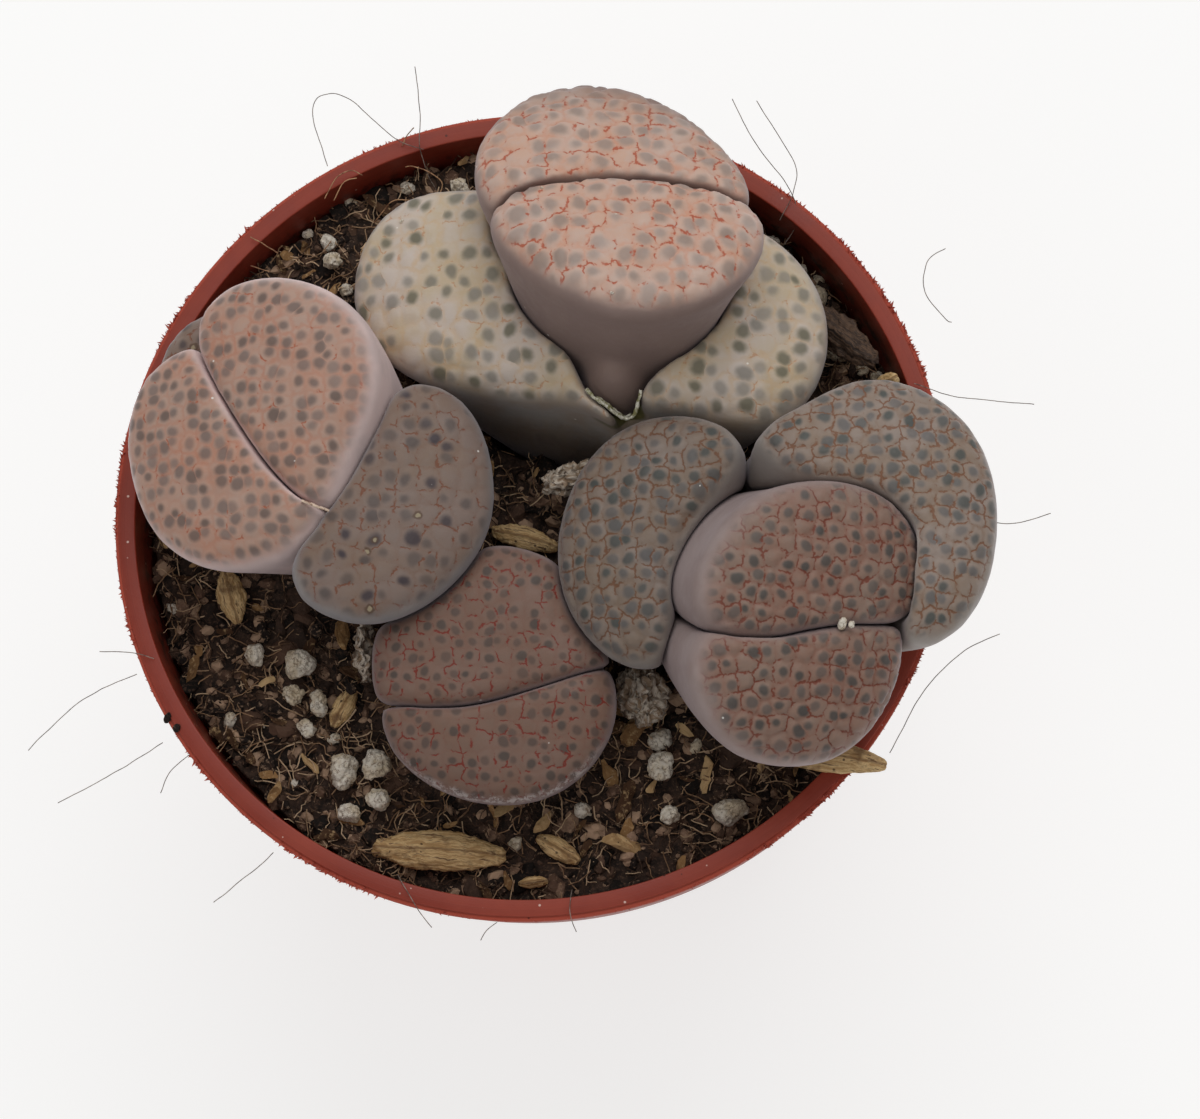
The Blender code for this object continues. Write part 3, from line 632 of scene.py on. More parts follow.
def scatterTree(name, material, shape, limits):
    # shape: "lump" or "fibre"; limits: low and high scale of one item
    tree, given = newTree(name, Density=1e6, Top=0.045, Seed=1, Facets=1, Flatness=0.6, Length=1.4,
                          Sink=0.0, Bend=0.0008)
    spot = field(tree, "Position")
    height = axisOf(spot, "Z")
    facing = axisOf(field(tree, "Normal"), "Z")
    onTop = times(calc("GREATER_THAN", height, given["Top"]), calc("GREATER_THAN", facing, 0.2))
    patchy = mapped(noiseTex(spot, 160.0, 2.0), 0.3, 0.7, 0.45, 1.0)
    density = times(times(given["Density"], patchy), onTop)
    points = built(tree, "DistributePointsOnFaces", Mesh=given["Geometry"], Density=density,
                   Seed=given["Seed"], distribute_method="RANDOM")
    points = built(tree, "StoreNamedAttribute", Geometry=points, Name="tone",
                   Value=randomValue(tree, 0.0, 1.0, 41), data_type="FLOAT", domain="POINT")
    sizePower = calc("POWER", randomValue(tree, 0.0, 1.0, 11), 2.2)
    size = mapped(sizePower, 0.0, 1.0, *limits, smooth=False)
    if shape == "lump":
        item = built(tree, "MeshIcoSphere", Radius=1.0, Subdivisions=given["Facets"])
        turn = randomValue(tree, (-0.5, -0.5, 0.0), (0.5, 0.5, 6.28), 23, "FLOAT_VECTOR")
        scale = combined(times(size, given["Length"]), size, times(size, given["Flatness"]))
    else:
        item = built(tree, "CurvePrimitiveLine", Start=(-0.5, 0.0, 0.0), End=(0.5, 0.0, 0.0))
        item = built(tree, "ResampleCurve", Curve=item, Count=6)
        turn = randomValue(tree, (0.0, -0.45, 0.0), (0.0, 0.45, 6.28), 23, "FLOAT_VECTOR")
        scale = combined(size, size, size)
    placed = built(tree, "InstanceOnPoints", Points=points, Instance=item, Rotation=turn,
                   Scale=scale)
    real = built(tree, "RealizeInstances", Geometry=placed)
    wander = vecCalc("SUBTRACT", noiseTex(spot, 900.0, 1.0, output=1), (0.5, 0.5, 0.45))
    bent = moved(tree, real, vecCalc("ADD", scaled(wander, given["Bend"]),
                                     combined(0.0, 0.0, given["Sink"])))
    if shape == "fibre":
        ring = built(tree, "CurvePrimitiveCircle", Resolution=3, Radius=fibreRadius)
        thick = built(tree, "SetCurveRadius", Curve=bent, Radius=randomValue(tree, 0.5, 1.5, 31))
        bent = built(tree, "CurveToMesh", Curve=thick, Profile_Curve=ring, Fill_Caps=True)
    endTree(tree, bent, material)
    return tree


s = soilSettings
peat = soilMaterial("dark peat", *s["colours"], s["colourScale"], toned=False)
soil = remeshed(mergedCopy("pottingSoil", "soil"), s["voxel"])
grow(soil, soilTree(peat), Lump=s["lump"], Grit=s["grit"], Top=s["top"])
finishPiece(soil, "peat", "soil")


def scatter(name, s, material):
    tree = scatterTree(s["finish"].split()[-1], material, s["shape"], s["size"])
    piece = newPiece(name, soil.data.copy())
    grow(piece, tree, Top=soilSettings["top"] + aboveTop, **s["inputs"])
    print(name, len(piece.data.polygons), "faces")
    return finishPiece(piece, s["slot"], smooth=False)


scatteredFinishes = {}
for name, s in scattered.items():
    scatteredFinishes[name] = soilMaterial(s["finish"], *s["colours"], s["colourScale"])
    scatter(name, s, scatteredFinishes[name])
print("soil made")

# leaf skins

spotGroup, given, result = newGroup("spottedSkin", {
    "Place": origin, "Cell": 1.6, "Warp": 0.4, "Spot Size": 0.45, "Spot Softness": 0.12,
    "Spot Share": 0.9, "Line Width": 0.1, "Line Share": 0.4, "Face From": 0.2, "Face To": 0.6,
}, ["Spots", "Lines", "Face", "Crease", "Chance"])
netRandomness = 0.64


def spotNet(place, cell, warp):
    # an uneven net of cells in millimetres along the skin, with a spot in the middle of each
    shake = noiseTex(place, 0.5, 0.0, output=1, dims="2D")
    shiver = noiseTex(place, 2.2, 1.0, output=1, dims="2D")
    both = vecCalc("ADD", shake, scaled(shiver, 0.22))
    bent = vecCalc("ADD", place, scaled(vecCalc("SUBTRACT", both, (0.61, 0.61, 0.61)), warp))
    scale = calc("DIVIDE", 1.0, cell)
    spots = voronoi(bent, scale, randomness=netRandomness)
    curl = noiseTex(place, 1.5, 2.0, 0.6, output=1, dims="2D")
    curled = vecCalc("ADD", bent, scaled(vecCalc("SUBTRACT", curl, (0.5, 0.5, 0.5)),
                                         times(cell, 0.42)))
    edges = voronoi(curled, scale, "DISTANCE_TO_EDGE", randomness=netRandomness)
    return spots.outputs["Distance"], spots.outputs["Color"], edges.outputs["Distance"]


g = spotGroup
middle, cellColour, border = spotNet(given["Place"], given["Cell"], given["Warp"])
chances = channelsOf(cellColour)
radius = times(calc("DIVIDE", given["Spot Size"], given["Cell"]),
               mapped(chances[0], 0.0, 1.0, 0.72, 1.18, smooth=False))
softness = given["Spot Softness"]
spots = mapped(middle, minus(radius, softness), plus(radius, softness), 1.0, 0.0)
spots = times(spots, calc("LESS_THAN", chances[1], given["Spot Share"]))
spots = times(spots, mapped(chances[2], 0.0, 1.0, 0.55, 1.0, smooth=False))
where = noiseTex(given["Place"], 0.85, 3.0, 0.6, dims="2D")
limit = minus(0.72, times(given["Line Share"], 0.42))
broken = mapped(where, limit, plus(limit, 0.1))
lines = mapped(border, times(given["Line Width"], 0.25), given["Line Width"], 1.0, 0.0)
up = axisOf(given["Place"], "Z")
ragged = times(minus(noiseTex(given["Place"], 0.6, 2.0, dims="2D"), 0.5), 0.5)
face = mapped(plus(up, ragged), given["Face From"], given["Face To"])
tinted = mapped(plus(up, times(ragged, 0.4)), minus(given["Face From"], 0.1),
                plus(given["Face To"], 0.16))
g.links.new(times(spots, face), result["Spots"])
g.links.new(times(times(lines, broken), face), result["Lines"])
g.links.new(tinted, result["Face"])
g.links.new(mapped(border, 0.0, 0.22, 1.0, 0.0), result["Crease"])
g.links.new(chances[2], result["Chance"])


def skinTree():
    # evens out the skin, lays its coordinates on it, then raises the lumps
    tree, given = newTree("skinRelief", Smoothing=40, Crown=origin, Across=origin, Along=origin,
                          Up=origin, Spotted=origin, Cell=1.6, Warp=0.4, Relief=0.1, Lumps=0.1,
                          Shift=origin, FaceFrom=0.2, FaceTo=0.6, Material=None)
    spot = field(tree, "Position")
    calm = blurred(tree, spot, given["Smoothing"], "FLOAT_VECTOR")
    even = built(tree, "SetPosition", Geometry=given["Geometry"], Position=calm)
    local = scaled(vecCalc("SUBTRACT", spot, given["Crown"]), 1000.0)
    x = vecCalc("DOT_PRODUCT", local, given["Across"])
    y = vecCalc("DOT_PRODUCT", local, given["Along"])
    depth = vecCalc("DOT_PRODUCT", local, given["Up"])
    reach = calc("MAXIMUM", vecCalc("LENGTH", combined(x, y, 0.0)), 1.5)
    slope = calc("DIVIDE", depth, reach)
    stretch = calc("SQRT", plus(times(slope, slope), 1.0))
    stretch = calc("MINIMUM", stretch, 1.4)
    normal = field(tree, "Normal")
    facing = vecCalc("DOT_PRODUCT", normal, given["Spotted"])
    softFacing = blurred(tree, facing, 6, "FLOAT")
    laid = vecCalc("ADD", combined(times(x, stretch), times(y, stretch), softFacing),
                   given["Shift"])
    kept = built(tree, "StoreNamedAttribute", Geometry=even, Name="skinPlace", Value=laid,
                 data_type="FLOAT_VECTOR", domain="POINT")
    skinPlace = attribute(tree, "skinPlace", "FLOAT_VECTOR")
    middle, _, border = spotNet(skinPlace, given["Cell"], given["Warp"])
    up = axisOf(skinPlace, "Z")
    face = mapped(up, given["FaceFrom"], given["FaceTo"])
    merge = mapped(noiseTex(skinPlace, 0.5, 1.0, dims="2D"), 0.3, 0.62, 0.25, 1.0)
    pillow = plus(mapped(border, 0.0, 0.3, -0.7, 0.0), mapped(middle, 0.15, 0.75, 0.3, 0.0))
    groove = times(times(pillow, merge), given["Relief"])
    swell = noiseTex(skinPlace, 0.28, 1.0, dims="2D")
    swell = times(minus(swell, 0.5), given["Lumps"])
    rise = times(plus(groove, swell), times(face, mm))
    shaped = moved(tree, kept, scaled(normal, rise))
    endTree(tree, shaped, given["Material"])
    return tree


# heights and reaches in millimetres; a finish may replace any of these
skinShared = {
    "sheen": 0.25, "sheenTint": paint(226, 218, 232), "dust": paint(238, 234, 228),
    "stainShadeFrom": 53.5, "stainShadeTo": 47.5, "foot": paint(84, 64, 50), "scarRing": paint(88, 66, 50),
    "scarMiddle": paint(168, 154, 126), "bloomTint": paint(196, 186, 182),
    "raw": (paint(74, 70, 30), paint(132, 126, 70)), "tissueReach": (2.6, 2.2, 1.5),
}


def skinMaterial(name, s):
    s = skinShared | s
    material, shader, place = newMaterial(
        name, Roughness=0.55, Specular_IOR_Level=0.35, Sheen_Weight=s["sheen"],
        Sheen_Roughness=0.4, Sheen_Tint=s["sheenTint"])
    tree = treeOf(place)
    skinPlace = stored(tree, "skinPlace")
    out = useGroup(tree, spotGroup, **{
        "Place": skinPlace, "Cell": s["cell"], "Warp": s["warp"], "Spot Size": s["spotSize"],
        "Spot Softness": s["spotSoft"], "Spot Share": s["spotShare"],
        "Line Width": s["lineWidth"], "Line Share": s["lineShare"],
        "Face From": s["faceFrom"], "Face To": s["faceTo"]})
    height = axisOf(place, "Z")
    if "faceAbove" in s:  # nothing is spotted lower down
        upper = mapped(height, s["faceAbove"] - 1.5, s["faceAbove"] + 1.5)
        out = {title: times(out[title], upper) if title != "Chance" else out[title]
               for title in ("Spots", "Lines", "Face", "Crease", "Chance")}
    patches = mapped(noiseTex(skinPlace, 0.22, 2.0, 0.6), 0.35, 0.65)
    colour = mixed(patches, s["flesh"], s["flesh2"])
    mottle = mapped(noiseTex(skinPlace, 1.1, 3.0, 0.6), 0.4, 0.7)
    colour = mixed(times(mottle, 0.3), colour, s["fleck"])
    # the grooves between the lumps: a reddish tint of the skin, darkened as painted shade
    creaseShade = times(out["Crease"], mapped(noiseTex(skinPlace, 0.5, 2.0), 0.35, 0.7, 0.1,
                                       s["creaseShade"]))
    colour = mixed(creaseShade, colour, s["creaseShadeTint"])
    spotColour = mixed(mapped(out["Chance"], 0.3, 0.9), s["spot"], s["spot2"])
    colour = mixed(times(out["Spots"], s["spotStrength"]), colour, spotColour)
    colour = mixed(times(out["Lines"], s["lineStrength"]), colour, s["line"])
    side = mixed(mapped(noiseTex(place, 0.25, 3.0, 0.6), 0.35, 0.65), s["side"], s["side2"])
    colour = mixed(out["Face"], side, colour)
    if "scars" in s:  # healed pits: a pale middle in a brown ring
        shaken = vecCalc("ADD", skinPlace, scaled(noiseTex(skinPlace, 1.7, 2.0, output=1), 0.5))
        pit = voronoi(shaken, 0.3, randomness=1.0)
        kept = channelsOf(pit.outputs["Color"])[0]
        kept = calc("LESS_THAN", kept, s["scars"])
        ring = mapped(pit.outputs["Distance"], 0.08, 0.13, 0.8, 0.0)
        core = mapped(pit.outputs["Distance"], 0.035, 0.07, 0.8, 0.0)
        colour = mixed(times(ring, kept), colour, s["scarRing"])
        colour = mixed(times(core, kept), colour, s["scarMiddle"])
    if "bloom" in s:  # a dusty white margin low at the front
        front = axisOf(place, "Y")
        rim = times(out["Face"], minus(1.0, out["Face"]))
        rim = times(rim, mapped(front, -18.5, -23.0, 0.0, 5.0))
        dusty = mapped(noiseTex(place, 1.6, 5.0, 0.8), 0.47, 0.56, 0.0, s["bloom"])
        colour = mixed(times(rim, dusty, clamp=True), colour, s["bloomTint"])
    # darker towards the foot: partly soil stain, partly painted shade
    low = mapped(height, s["stainShadeFrom"], s["stainShadeTo"], 0.0, 0.8)
    colour = mixed(low, colour, s["foot"])
    if "tissue" in s:  # the raw green inside of the split
        away = vecCalc("LENGTH", vecCalc("DIVIDE", vecCalc("SUBTRACT", place, s["tissue"]),
                                         s["tissueReach"]))
        raw = mixed(noiseTex(place, 1.4, 3.0), *s["raw"])
        colour = mixed(mapped(away, 1.0, 0.8), colour, raw)
    # painted light and shade across the old pair: darker at its left, brighter at its right
    if "paintedShading" in s:  # one old leaf is darker than the other, from left to right
        side = axisOf(place, "X")
        colour = scaled(colour, mapped(side, *s["paintedShading"]))
    colour = dusted(colour, place, 1.7, 0.075, 0.16, 0.8, s["dust"])
    paintWith(shader, colour, mapped(noiseTex(place, 1.2, 3.0), 0.3, 0.7, 0.5, 0.66))
    pores = noiseTex(place, 4.5, 3.0, 0.65)
    sunk = times(out["Lines"], -0.9)
    setBump(shader, plus(times(pores, 0.5), sunk), 0.3, 0.00012)
    return material


skinFinishes = {
    "skin_left": {
        "cell": 1.22, "warp": 0.4, "spotSize": 0.43, "spotSoft": 0.17, "spotShare": 0.95,
        "lineWidth": 0.09, "lineShare": 0.3, "faceFrom": 0.25, "faceTo": 0.7, "relief": 0.1,
        "lumps": 0.35, "flesh": paint(183, 152, 136), "flesh2": paint(186, 144, 124),
        "fleck": paint(173, 155, 145), "creaseShadeTint": paint(182, 111, 81), "creaseShade": 0.45,
        "spot": paint(102, 94, 92), "spot2": paint(108, 92, 85), "spotStrength": 0.92,
        "line": paint(170, 92, 62), "lineStrength": 0.8,
        "side": paint(219, 199, 196), "side2": paint(234, 211, 207),
    },
    "skin_top": {
        "cell": 1.62, "warp": 0.6, "spotSize": 0.54, "spotSoft": 0.18, "spotShare": 0.93,
        "lineWidth": 0.085, "lineShare": 0.52, "faceFrom": 0.22, "faceTo": 0.68, "relief": 0.26,
        "lumps": 0.4, "flesh": paint(206, 178, 163), "flesh2": paint(208, 170, 149),
        "fleck": paint(197, 182, 174), "creaseShadeTint": paint(209, 137, 105), "creaseShade": 0.5,
        "spot": paint(136, 130, 127), "spot2": paint(143, 128, 119), "spotStrength": 0.78,
        "line": paint(180, 86, 56), "lineStrength": 0.9,
        "side": paint(150, 128, 121), "side2": paint(155, 133, 125),
        "stainShadeFrom": 64.5, "stainShadeTo": 55.0, "foot": paint(85, 67, 57), "faceAbove": 60.5,
    },
    "skin_right": {
        "cell": 1.32, "warp": 0.45, "spotSize": 0.4, "spotSoft": 0.115, "spotShare": 0.9,
        "lineWidth": 0.085, "lineShare": 0.64, "faceFrom": 0.22, "faceTo": 0.78, "relief": 0.28,
        "lumps": 0.25, "flesh": paint(141, 117, 103), "flesh2": paint(141, 110, 95),
        "fleck": paint(131, 116, 106), "creaseShadeTint": paint(133, 79, 61), "creaseShade": 0.45,
        "spot": paint(70, 73, 73), "spot2": paint(73, 70, 67), "spotStrength": 0.95,
        "line": paint(116, 55, 37), "lineStrength": 0.9,
        "side": paint(166, 149, 145), "side2": paint(156, 137, 132),
    },
    "skin_front": {
        "cell": 1.18, "warp": 0.4, "spotSize": 0.345, "spotSoft": 0.11, "spotShare": 0.86,
        "lineWidth": 0.085, "lineShare": 0.56, "faceFrom": 0.2, "faceTo": 0.6, "relief": 0.06,
        "lumps": 0.2, "flesh": paint(127, 101, 89), "flesh2": paint(123, 95, 81),
        "fleck": paint(115, 98, 87), "creaseShadeTint": paint(120, 75, 60), "creaseShade": 0.25,
        "spot": paint(61, 54, 52), "spot2": paint(66, 60, 56), "spotStrength": 0.82,
        "line": paint(119, 40, 28), "lineStrength": 0.95,
        "side": paint(152, 134, 132), "side2": paint(160, 142, 138), "bloom": 0.9,
    },
    "old_skin_left": {
        "cell": 1.5, "warp": 0.55, "spotSize": 0.46, "spotSoft": 0.16, "spotShare": 0.75,
        "lineWidth": 0.07, "lineShare": 0.55, "faceFrom": 0.3, "faceTo": 0.7, "relief": 0.08,
        "lumps": 0.25, "flesh": paint(133, 115, 106), "flesh2": paint(130, 109, 95),
        "fleck": paint(129, 117, 111), "creaseShadeTint": paint(123, 92, 75), "creaseShade": 0.4,
        "spot": paint(74, 67, 66), "spot2": paint(62, 54, 60), "spotStrength": 0.95,
        "line": paint(119, 67, 43), "lineStrength": 0.8,
        "side": paint(142, 139, 140), "side2": paint(149, 144, 142), "scars": 0.22,
    },
    "old_skin_top": {
        "cell": 1.6, "warp": 0.55, "spotSize": 0.52, "spotSoft": 0.16, "spotShare": 0.85,
        "lineWidth": 0.07, "lineShare": 0.4, "faceFrom": 0.1, "faceTo": 0.6, "relief": 0.12,
        "lumps": 0.35, "flesh": paint(204, 190, 178), "flesh2": paint(198, 180, 153),
        "fleck": paint(206, 196, 189), "creaseShadeTint": paint(204, 172, 131), "creaseShade": 0.55,
        "spot": paint(124, 122, 117), "spot2": paint(114, 110, 92), "spotStrength": 0.95,
        "line": paint(192, 135, 98), "lineStrength": 0.6,
        "side": paint(172, 168, 163), "side2": paint(168, 153, 138),
        "stainShadeFrom": 55.8, "stainShadeTo": 49.5, "foot": paint(60, 42, 29), "tissue": (7.2, 7.4, 55.7),
    },
    "old_skin_right": {
        "cell": 1.28, "warp": 0.55, "spotSize": 0.43, "spotSoft": 0.14, "spotShare": 0.9,
        "lineWidth": 0.09, "lineShare": 0.72, "faceFrom": 0.3, "faceTo": 0.65, "relief": 0.2,
        "lumps": 0.25, "flesh": paint(145, 130, 120), "flesh2": paint(138, 120, 105),
        "fleck": paint(143, 134, 129), "creaseShadeTint": paint(125, 98, 77), "creaseShade": 0.55,
        "spot": paint(78, 83, 87), "spot2": paint(70, 76, 74), "spotStrength": 0.92,
        "line": paint(116, 73, 46), "lineStrength": 0.8,
        "side": paint(156, 149, 143), "side2": paint(149, 139, 131),
        "paintedShading": (13.0, 22.0, 0.86, 1.1),
    },
}

# lean: azimuth and angle of the leaf's face; spotted: where the spotted cap looks, if elsewhere
# web: middle and radii of a lump of joining flesh; split: outline of the torn split from above
leaves = {
    "left_new_upper": {"slot": "skin_left", "lean": (195, 17), "spotted": (200, 22)},
    "left_new_lower": {"slot": "skin_left", "lean": (195, 17)},
    "top_new_upper": {"slot": "skin_top", "lean": (80, 25), "spotted": (80, 20)},
    "top_new_lower": {"slot": "skin_top", "lean": (80, 25), "spotted": (80, 30),
                      "web": ((7.0, 9.5, 56.0), (2.6, 3.0, 4.6))},
    "right_new_upper": {"slot": "skin_right", "lean": (-35, 25), "spotted": (-20, 30)},
    "right_new_lower": {"slot": "skin_right", "lean": (-35, 25), "spotted": (-20, 30)},
    "front_new_upper": {"slot": "skin_front", "lean": (-95, 8), "spotted": (-95, 10)},
    "front_new_lower": {"slot": "skin_front", "lean": (-95, 8)},
    "left_old_right": {"slot": "old_skin_left", "lean": (-20, 8)},
    "left_old_left": {"slot": "old_skin_left", "lean": (150, 14)},
    "top_old_left": {"slot": "old_skin_top", "lean": (200, 6),
                     "joined": "top_old_right", "web": ((7.8, 6.5, 48.0), (1.7, 1.7, 5.6)),
                     "split": ((-0.8, 16.7), (1.3, 14.3), (2.9, 11.8), (3.9, 9.6), (4.8, 7.6),
                               (5.4, 6.95), (6.2, 6.5), (7.0, 6.0), (7.6, 5.8), (8.3, 5.95),
                               (8.7, 6.7), (8.9, 7.5), (9.9, 8.6), (13.0, 10.9), (15.3, 13.3),
                               (12.0, 18.0), (4.0, 18.5))},
    "right_old_left": {"slot": "old_skin_right", "lean": (190, 12)},
    "right_old_right": {"slot": "old_skin_right", "lean": (20, 8)},
}
leafShape = {
    "voxel": 0.00027, "quickVoxel": 0.0004, "swell": 0.00011, "smoothing": 16, "crown": 0.0006,
    "splitFoot": 55.2, "splitHeight": 15, "patternStep": (31.0, 17.0),
}
leafVoxel = leafShape["voxel"]


def leaning(azimuth, lean):
    azimuth, lean = math.radians(azimuth), math.radians(lean)
    return Vector((math.sin(lean) * math.cos(azimuth), math.sin(lean) * math.sin(azimuth),
                   math.cos(lean)))


def swell(mesh, amount):
    # outwards along the normals, so that the two leaves of a pair nearly touch
    bm = bmesh.new()
    bm.from_mesh(mesh)
    bm.normal_update()
    for vert, normal in [(v, v.normal.copy()) for v in bm.verts]:
        vert.co += normal * amount
    bm.to_mesh(mesh)
    bm.free()


def addLump(mesh, centre, radii):
    bm = bmesh.new()
    bm.from_mesh(mesh)
    stretch = Matrix.Diagonal((*[r * mm for r in radii], 1.0))
    place = Matrix.Translation(Vector(centre) * mm) @ stretch
    bmesh.ops.create_icosphere(bm, subdivisions=4, radius=1.0, matrix=place)
    bm.to_mesh(mesh)
    bm.free()


def openSplit(piece, outline, foot, height):
    # cuts the torn split out of an old pair, from the foot upwards
    bm = bmesh.new()
    ring = [bm.verts.new((x * mm, y * mm, foot * mm)) for x, y in outline]
    made = bmesh.ops.extrude_face_region(bm, geom=[bm.faces.new(ring)])["geom"]
    bmesh.ops.translate(bm, verts=[v for v in made if isinstance(v, bmesh.types.BMVert)],
                        vec=(0.0, 0.0, height * mm))
    bmesh.ops.recalc_face_normals(bm, faces=bm.faces)
    cutAway(piece, newPiece("splitter", meshFrom(bm, "splitter")))


def makeLeaf(number, node, s, shape, finish, material, tree):
    nodes = [node] + ([s["joined"]] if "joined" in s else [])
    piece = mergedCopy(node + "_skin", *nodes)
    if "web" in s:  # a fuller foot, or the flesh that joins an old pair below its split
        addLump(piece.data, *s["web"])
    swell(piece.data, shape["swell"])
    remeshed(piece, leafVoxel)
    if "split" in s:
        openSplit(piece, s["split"], shape["splitFoot"], shape["splitHeight"])
        remeshed(piece, leafVoxel)
    up = leaning(*s["lean"])
    across = Vector((0.0, 1.0, 0.0)).cross(up).normalized()
    along = up.cross(across)
    places = placesOf(piece)
    heights = places @ np.array(up)
    crown = Vector(places[heights > heights.max() - shape["crown"]].mean(axis=0))
    # each leaf has its own part of the pattern, and coarser skin needs fewer rounds of smoothing
    shift = [step * number for step in shape["patternStep"]]
    rounds = int(shape["smoothing"] * (shape["voxel"] / leafVoxel) ** 2)
    grow(piece, tree, Smoothing=rounds, Crown=crown, Across=across, Along=along, Up=up,
         Spotted=leaning(*s.get("spotted", s["lean"])), Cell=finish["cell"], Warp=finish["warp"],
         Relief=finish["relief"], Lumps=finish["lumps"], Shift=(*shift, 0.0),
         FaceFrom=finish["faceFrom"], FaceTo=finish["faceTo"], Material=material)
    return finishPiece(piece, s["slot"], *nodes)


skinMaterials = {title: skinMaterial(title, s) for title, s in skinFinishes.items()}
relief = skinTree()
for number, (node, s) in enumerate(leaves.items(), 1):
    leaf = makeLeaf(number, node, s, leafShape, skinFinishes[s["slot"]], skinMaterials[s["slot"]],
                    relief)
    print(leaf.name, len(leaf.data.polygons), "faces")

# perlite

# small: x, y and radius in millimetres; relief: depth of the dents and of the pits in metres
grainSettings = {
    "small": ((-24, -15.2, .6), (-21.1, -15.6, .35), (-15.7, -16.8, .5), (-28.6, -6.2, .5),
              (-26.1, -9.6, .4), (-18.8, -20.3, .4), (-10.2, 27.6, .7), (-13.7, 27, .6),
              (-14.7, 26.4, .5), (-16.4, 23.1, .7), (-14.9, 19.1, .6), (-18.2, 24, .4),
              (19, 22.9, .6), (18, 23.4, .4), (21.3, 20.6, .6), (22.5, 20, .6),
              (22.4, 18.4, 1.0), (23.8, 14.1, 1.3), (25.8, 12.6, .6), (27.2, 11.8, .6),
              (9.8, -17.3, 1.0), (12.5, -17.9, .7), (-1.5, -25.3, .6), (3.8, -22.7, .75)),
    "white": paint(226, 218, 204), "cream": paint(206, 190, 164), "pore": paint(120, 98, 76),
    "stain": paint(112, 84, 62), "fuller": 1.03, "buried": 0.35, "smaller": 0.9,
    "relief": {"perliteGrains": (0.0015, 0.00026), "perliteBits": (0.0009, 0.0002),
               "paleSpecks": (0.0003, 0.00008), "brownCrumbs": (0.0007, 0.00015)},
}


def grainTree(material):
    # a lump on every point, sized by the point's own number
    tree, given = newTree("grains", Dent=0.0004, Pit=0.00015)
    size = attribute(tree, "grainSize", "FLOAT")
    item = built(tree, "MeshIcoSphere", Radius=1.0, Subdivisions=5)
    turn = randomValue(tree, (-0.4, -0.4, 0.0), (0.4, 0.4, 6.28), 7, "FLOAT_VECTOR")
    spread = randomValue(tree, (0.95, 0.75, 0.75), (1.3, 1.05, 0.95), 12, "FLOAT_VECTOR")
    placed = built(tree, "InstanceOnPoints", Points=given["Geometry"], Instance=item, Rotation=turn,
                   Scale=vecCalc("MULTIPLY", combined(size, size, size), spread))
    real = built(tree, "RealizeInstances", Geometry=placed)
    spot = field(tree, "Position")
    normal = field(tree, "Normal")
    dent = times(minus(noiseTex(spot, 620.0, 3.0, 0.6), 0.5), given["Dent"])
    cells = voronoi(spot, 1900.0, dims="3D").outputs["Distance"]
    pit = times(mapped(cells, 0.1, 0.5, -1.0, 0.0), given["Pit"])
    shaped = moved(tree, real, scaled(normal, plus(dent, pit)))
    endTree(tree, shaped, material)
    return tree


def inMetres(spots):
    return [tuple(value * mm for value in spot) for spot in spots]


def makeGrains(name, spots, tree, slot, *nodes):
    # spots: x, y, z and radius in metres
    mesh = bpy.data.meshes.new(name)
    mesh.from_pydata([spot[:3] for spot in spots], [], [])
    sizes = mesh.attributes.new("grainSize", "FLOAT", "POINT")
    sizes.data.foreach_set("value", [spot[3] for spot in spots])
    dent, pit = grainSettings["relief"][name]
    return finishPiece(grow(newPiece(name, mesh), tree, Dent=dent, Pit=pit), slot, *nodes)


def perliteMaterial(s):
    material, shader, place = newMaterial("porous perlite", Roughness=0.85)
    tone = noiseTex(place, 0.5, 3.0, 0.6)
    colour = mixed(mapped(tone, 0.4, 0.62), s["white"], s["cream"])
    pores = voronoi(place, 2.6, dims="3D").outputs["Distance"]
    colour = mixed(mapped(pores, 0.08, 0.3, 0.55, 0.0), colour, s["pore"])
    vein = calc("ABSOLUTE", minus(noiseTex(place, 1.3, 3.0, 0.6), 0.5))
    colour = mixed(mapped(vein, 0.0, 0.03, 0.75, 0.0), colour, s["pore"])
    stain = mapped(noiseTex(place, 0.9, 4.0, 0.7), 0.58, 0.72, 0.0, 0.6)
    colour = mixed(stain, colour, s["stain"])
    paintWith(shader, colour)
    setBump(shader, noiseTex(place, 7.0, 4.0, 0.7), 0.6, 0.00015)
    return material


def topAt(x, y):
    # height of the soil under a place given in millimetres
    above, usual = Vector((x * mm, y * mm, 0.06)), 0.047  # over the pot, and the soil's mean
    hit, where, _, _ = soil.ray_cast(above, Vector((0.0, 0.0, -1.0)))
    return where.z if hit else usual


s = grainSettings
grains = grainTree(perliteMaterial(s))
grainNodes = sorted(n for n in cadNodes if n.startswith("perlite"))
bigGrains = []
for node in grainNodes:
    low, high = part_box(node)
    bigGrains.append((*((low + high) / 2), (high.x - low.x) / 2 * s["fuller"]))
makeGrains("perliteGrains", bigGrains, grains, "perlite", *grainNodes)
smallGrains = [(x * mm, y * mm, topAt(x, y) + s["buried"] * size * mm, size * mm * s["smaller"])
               for x, y, size in s["small"]]
makeGrains("perliteBits", smallGrains, grains, "perlite")
print("perlite made")

# dry leaves, husks and shrunken remains

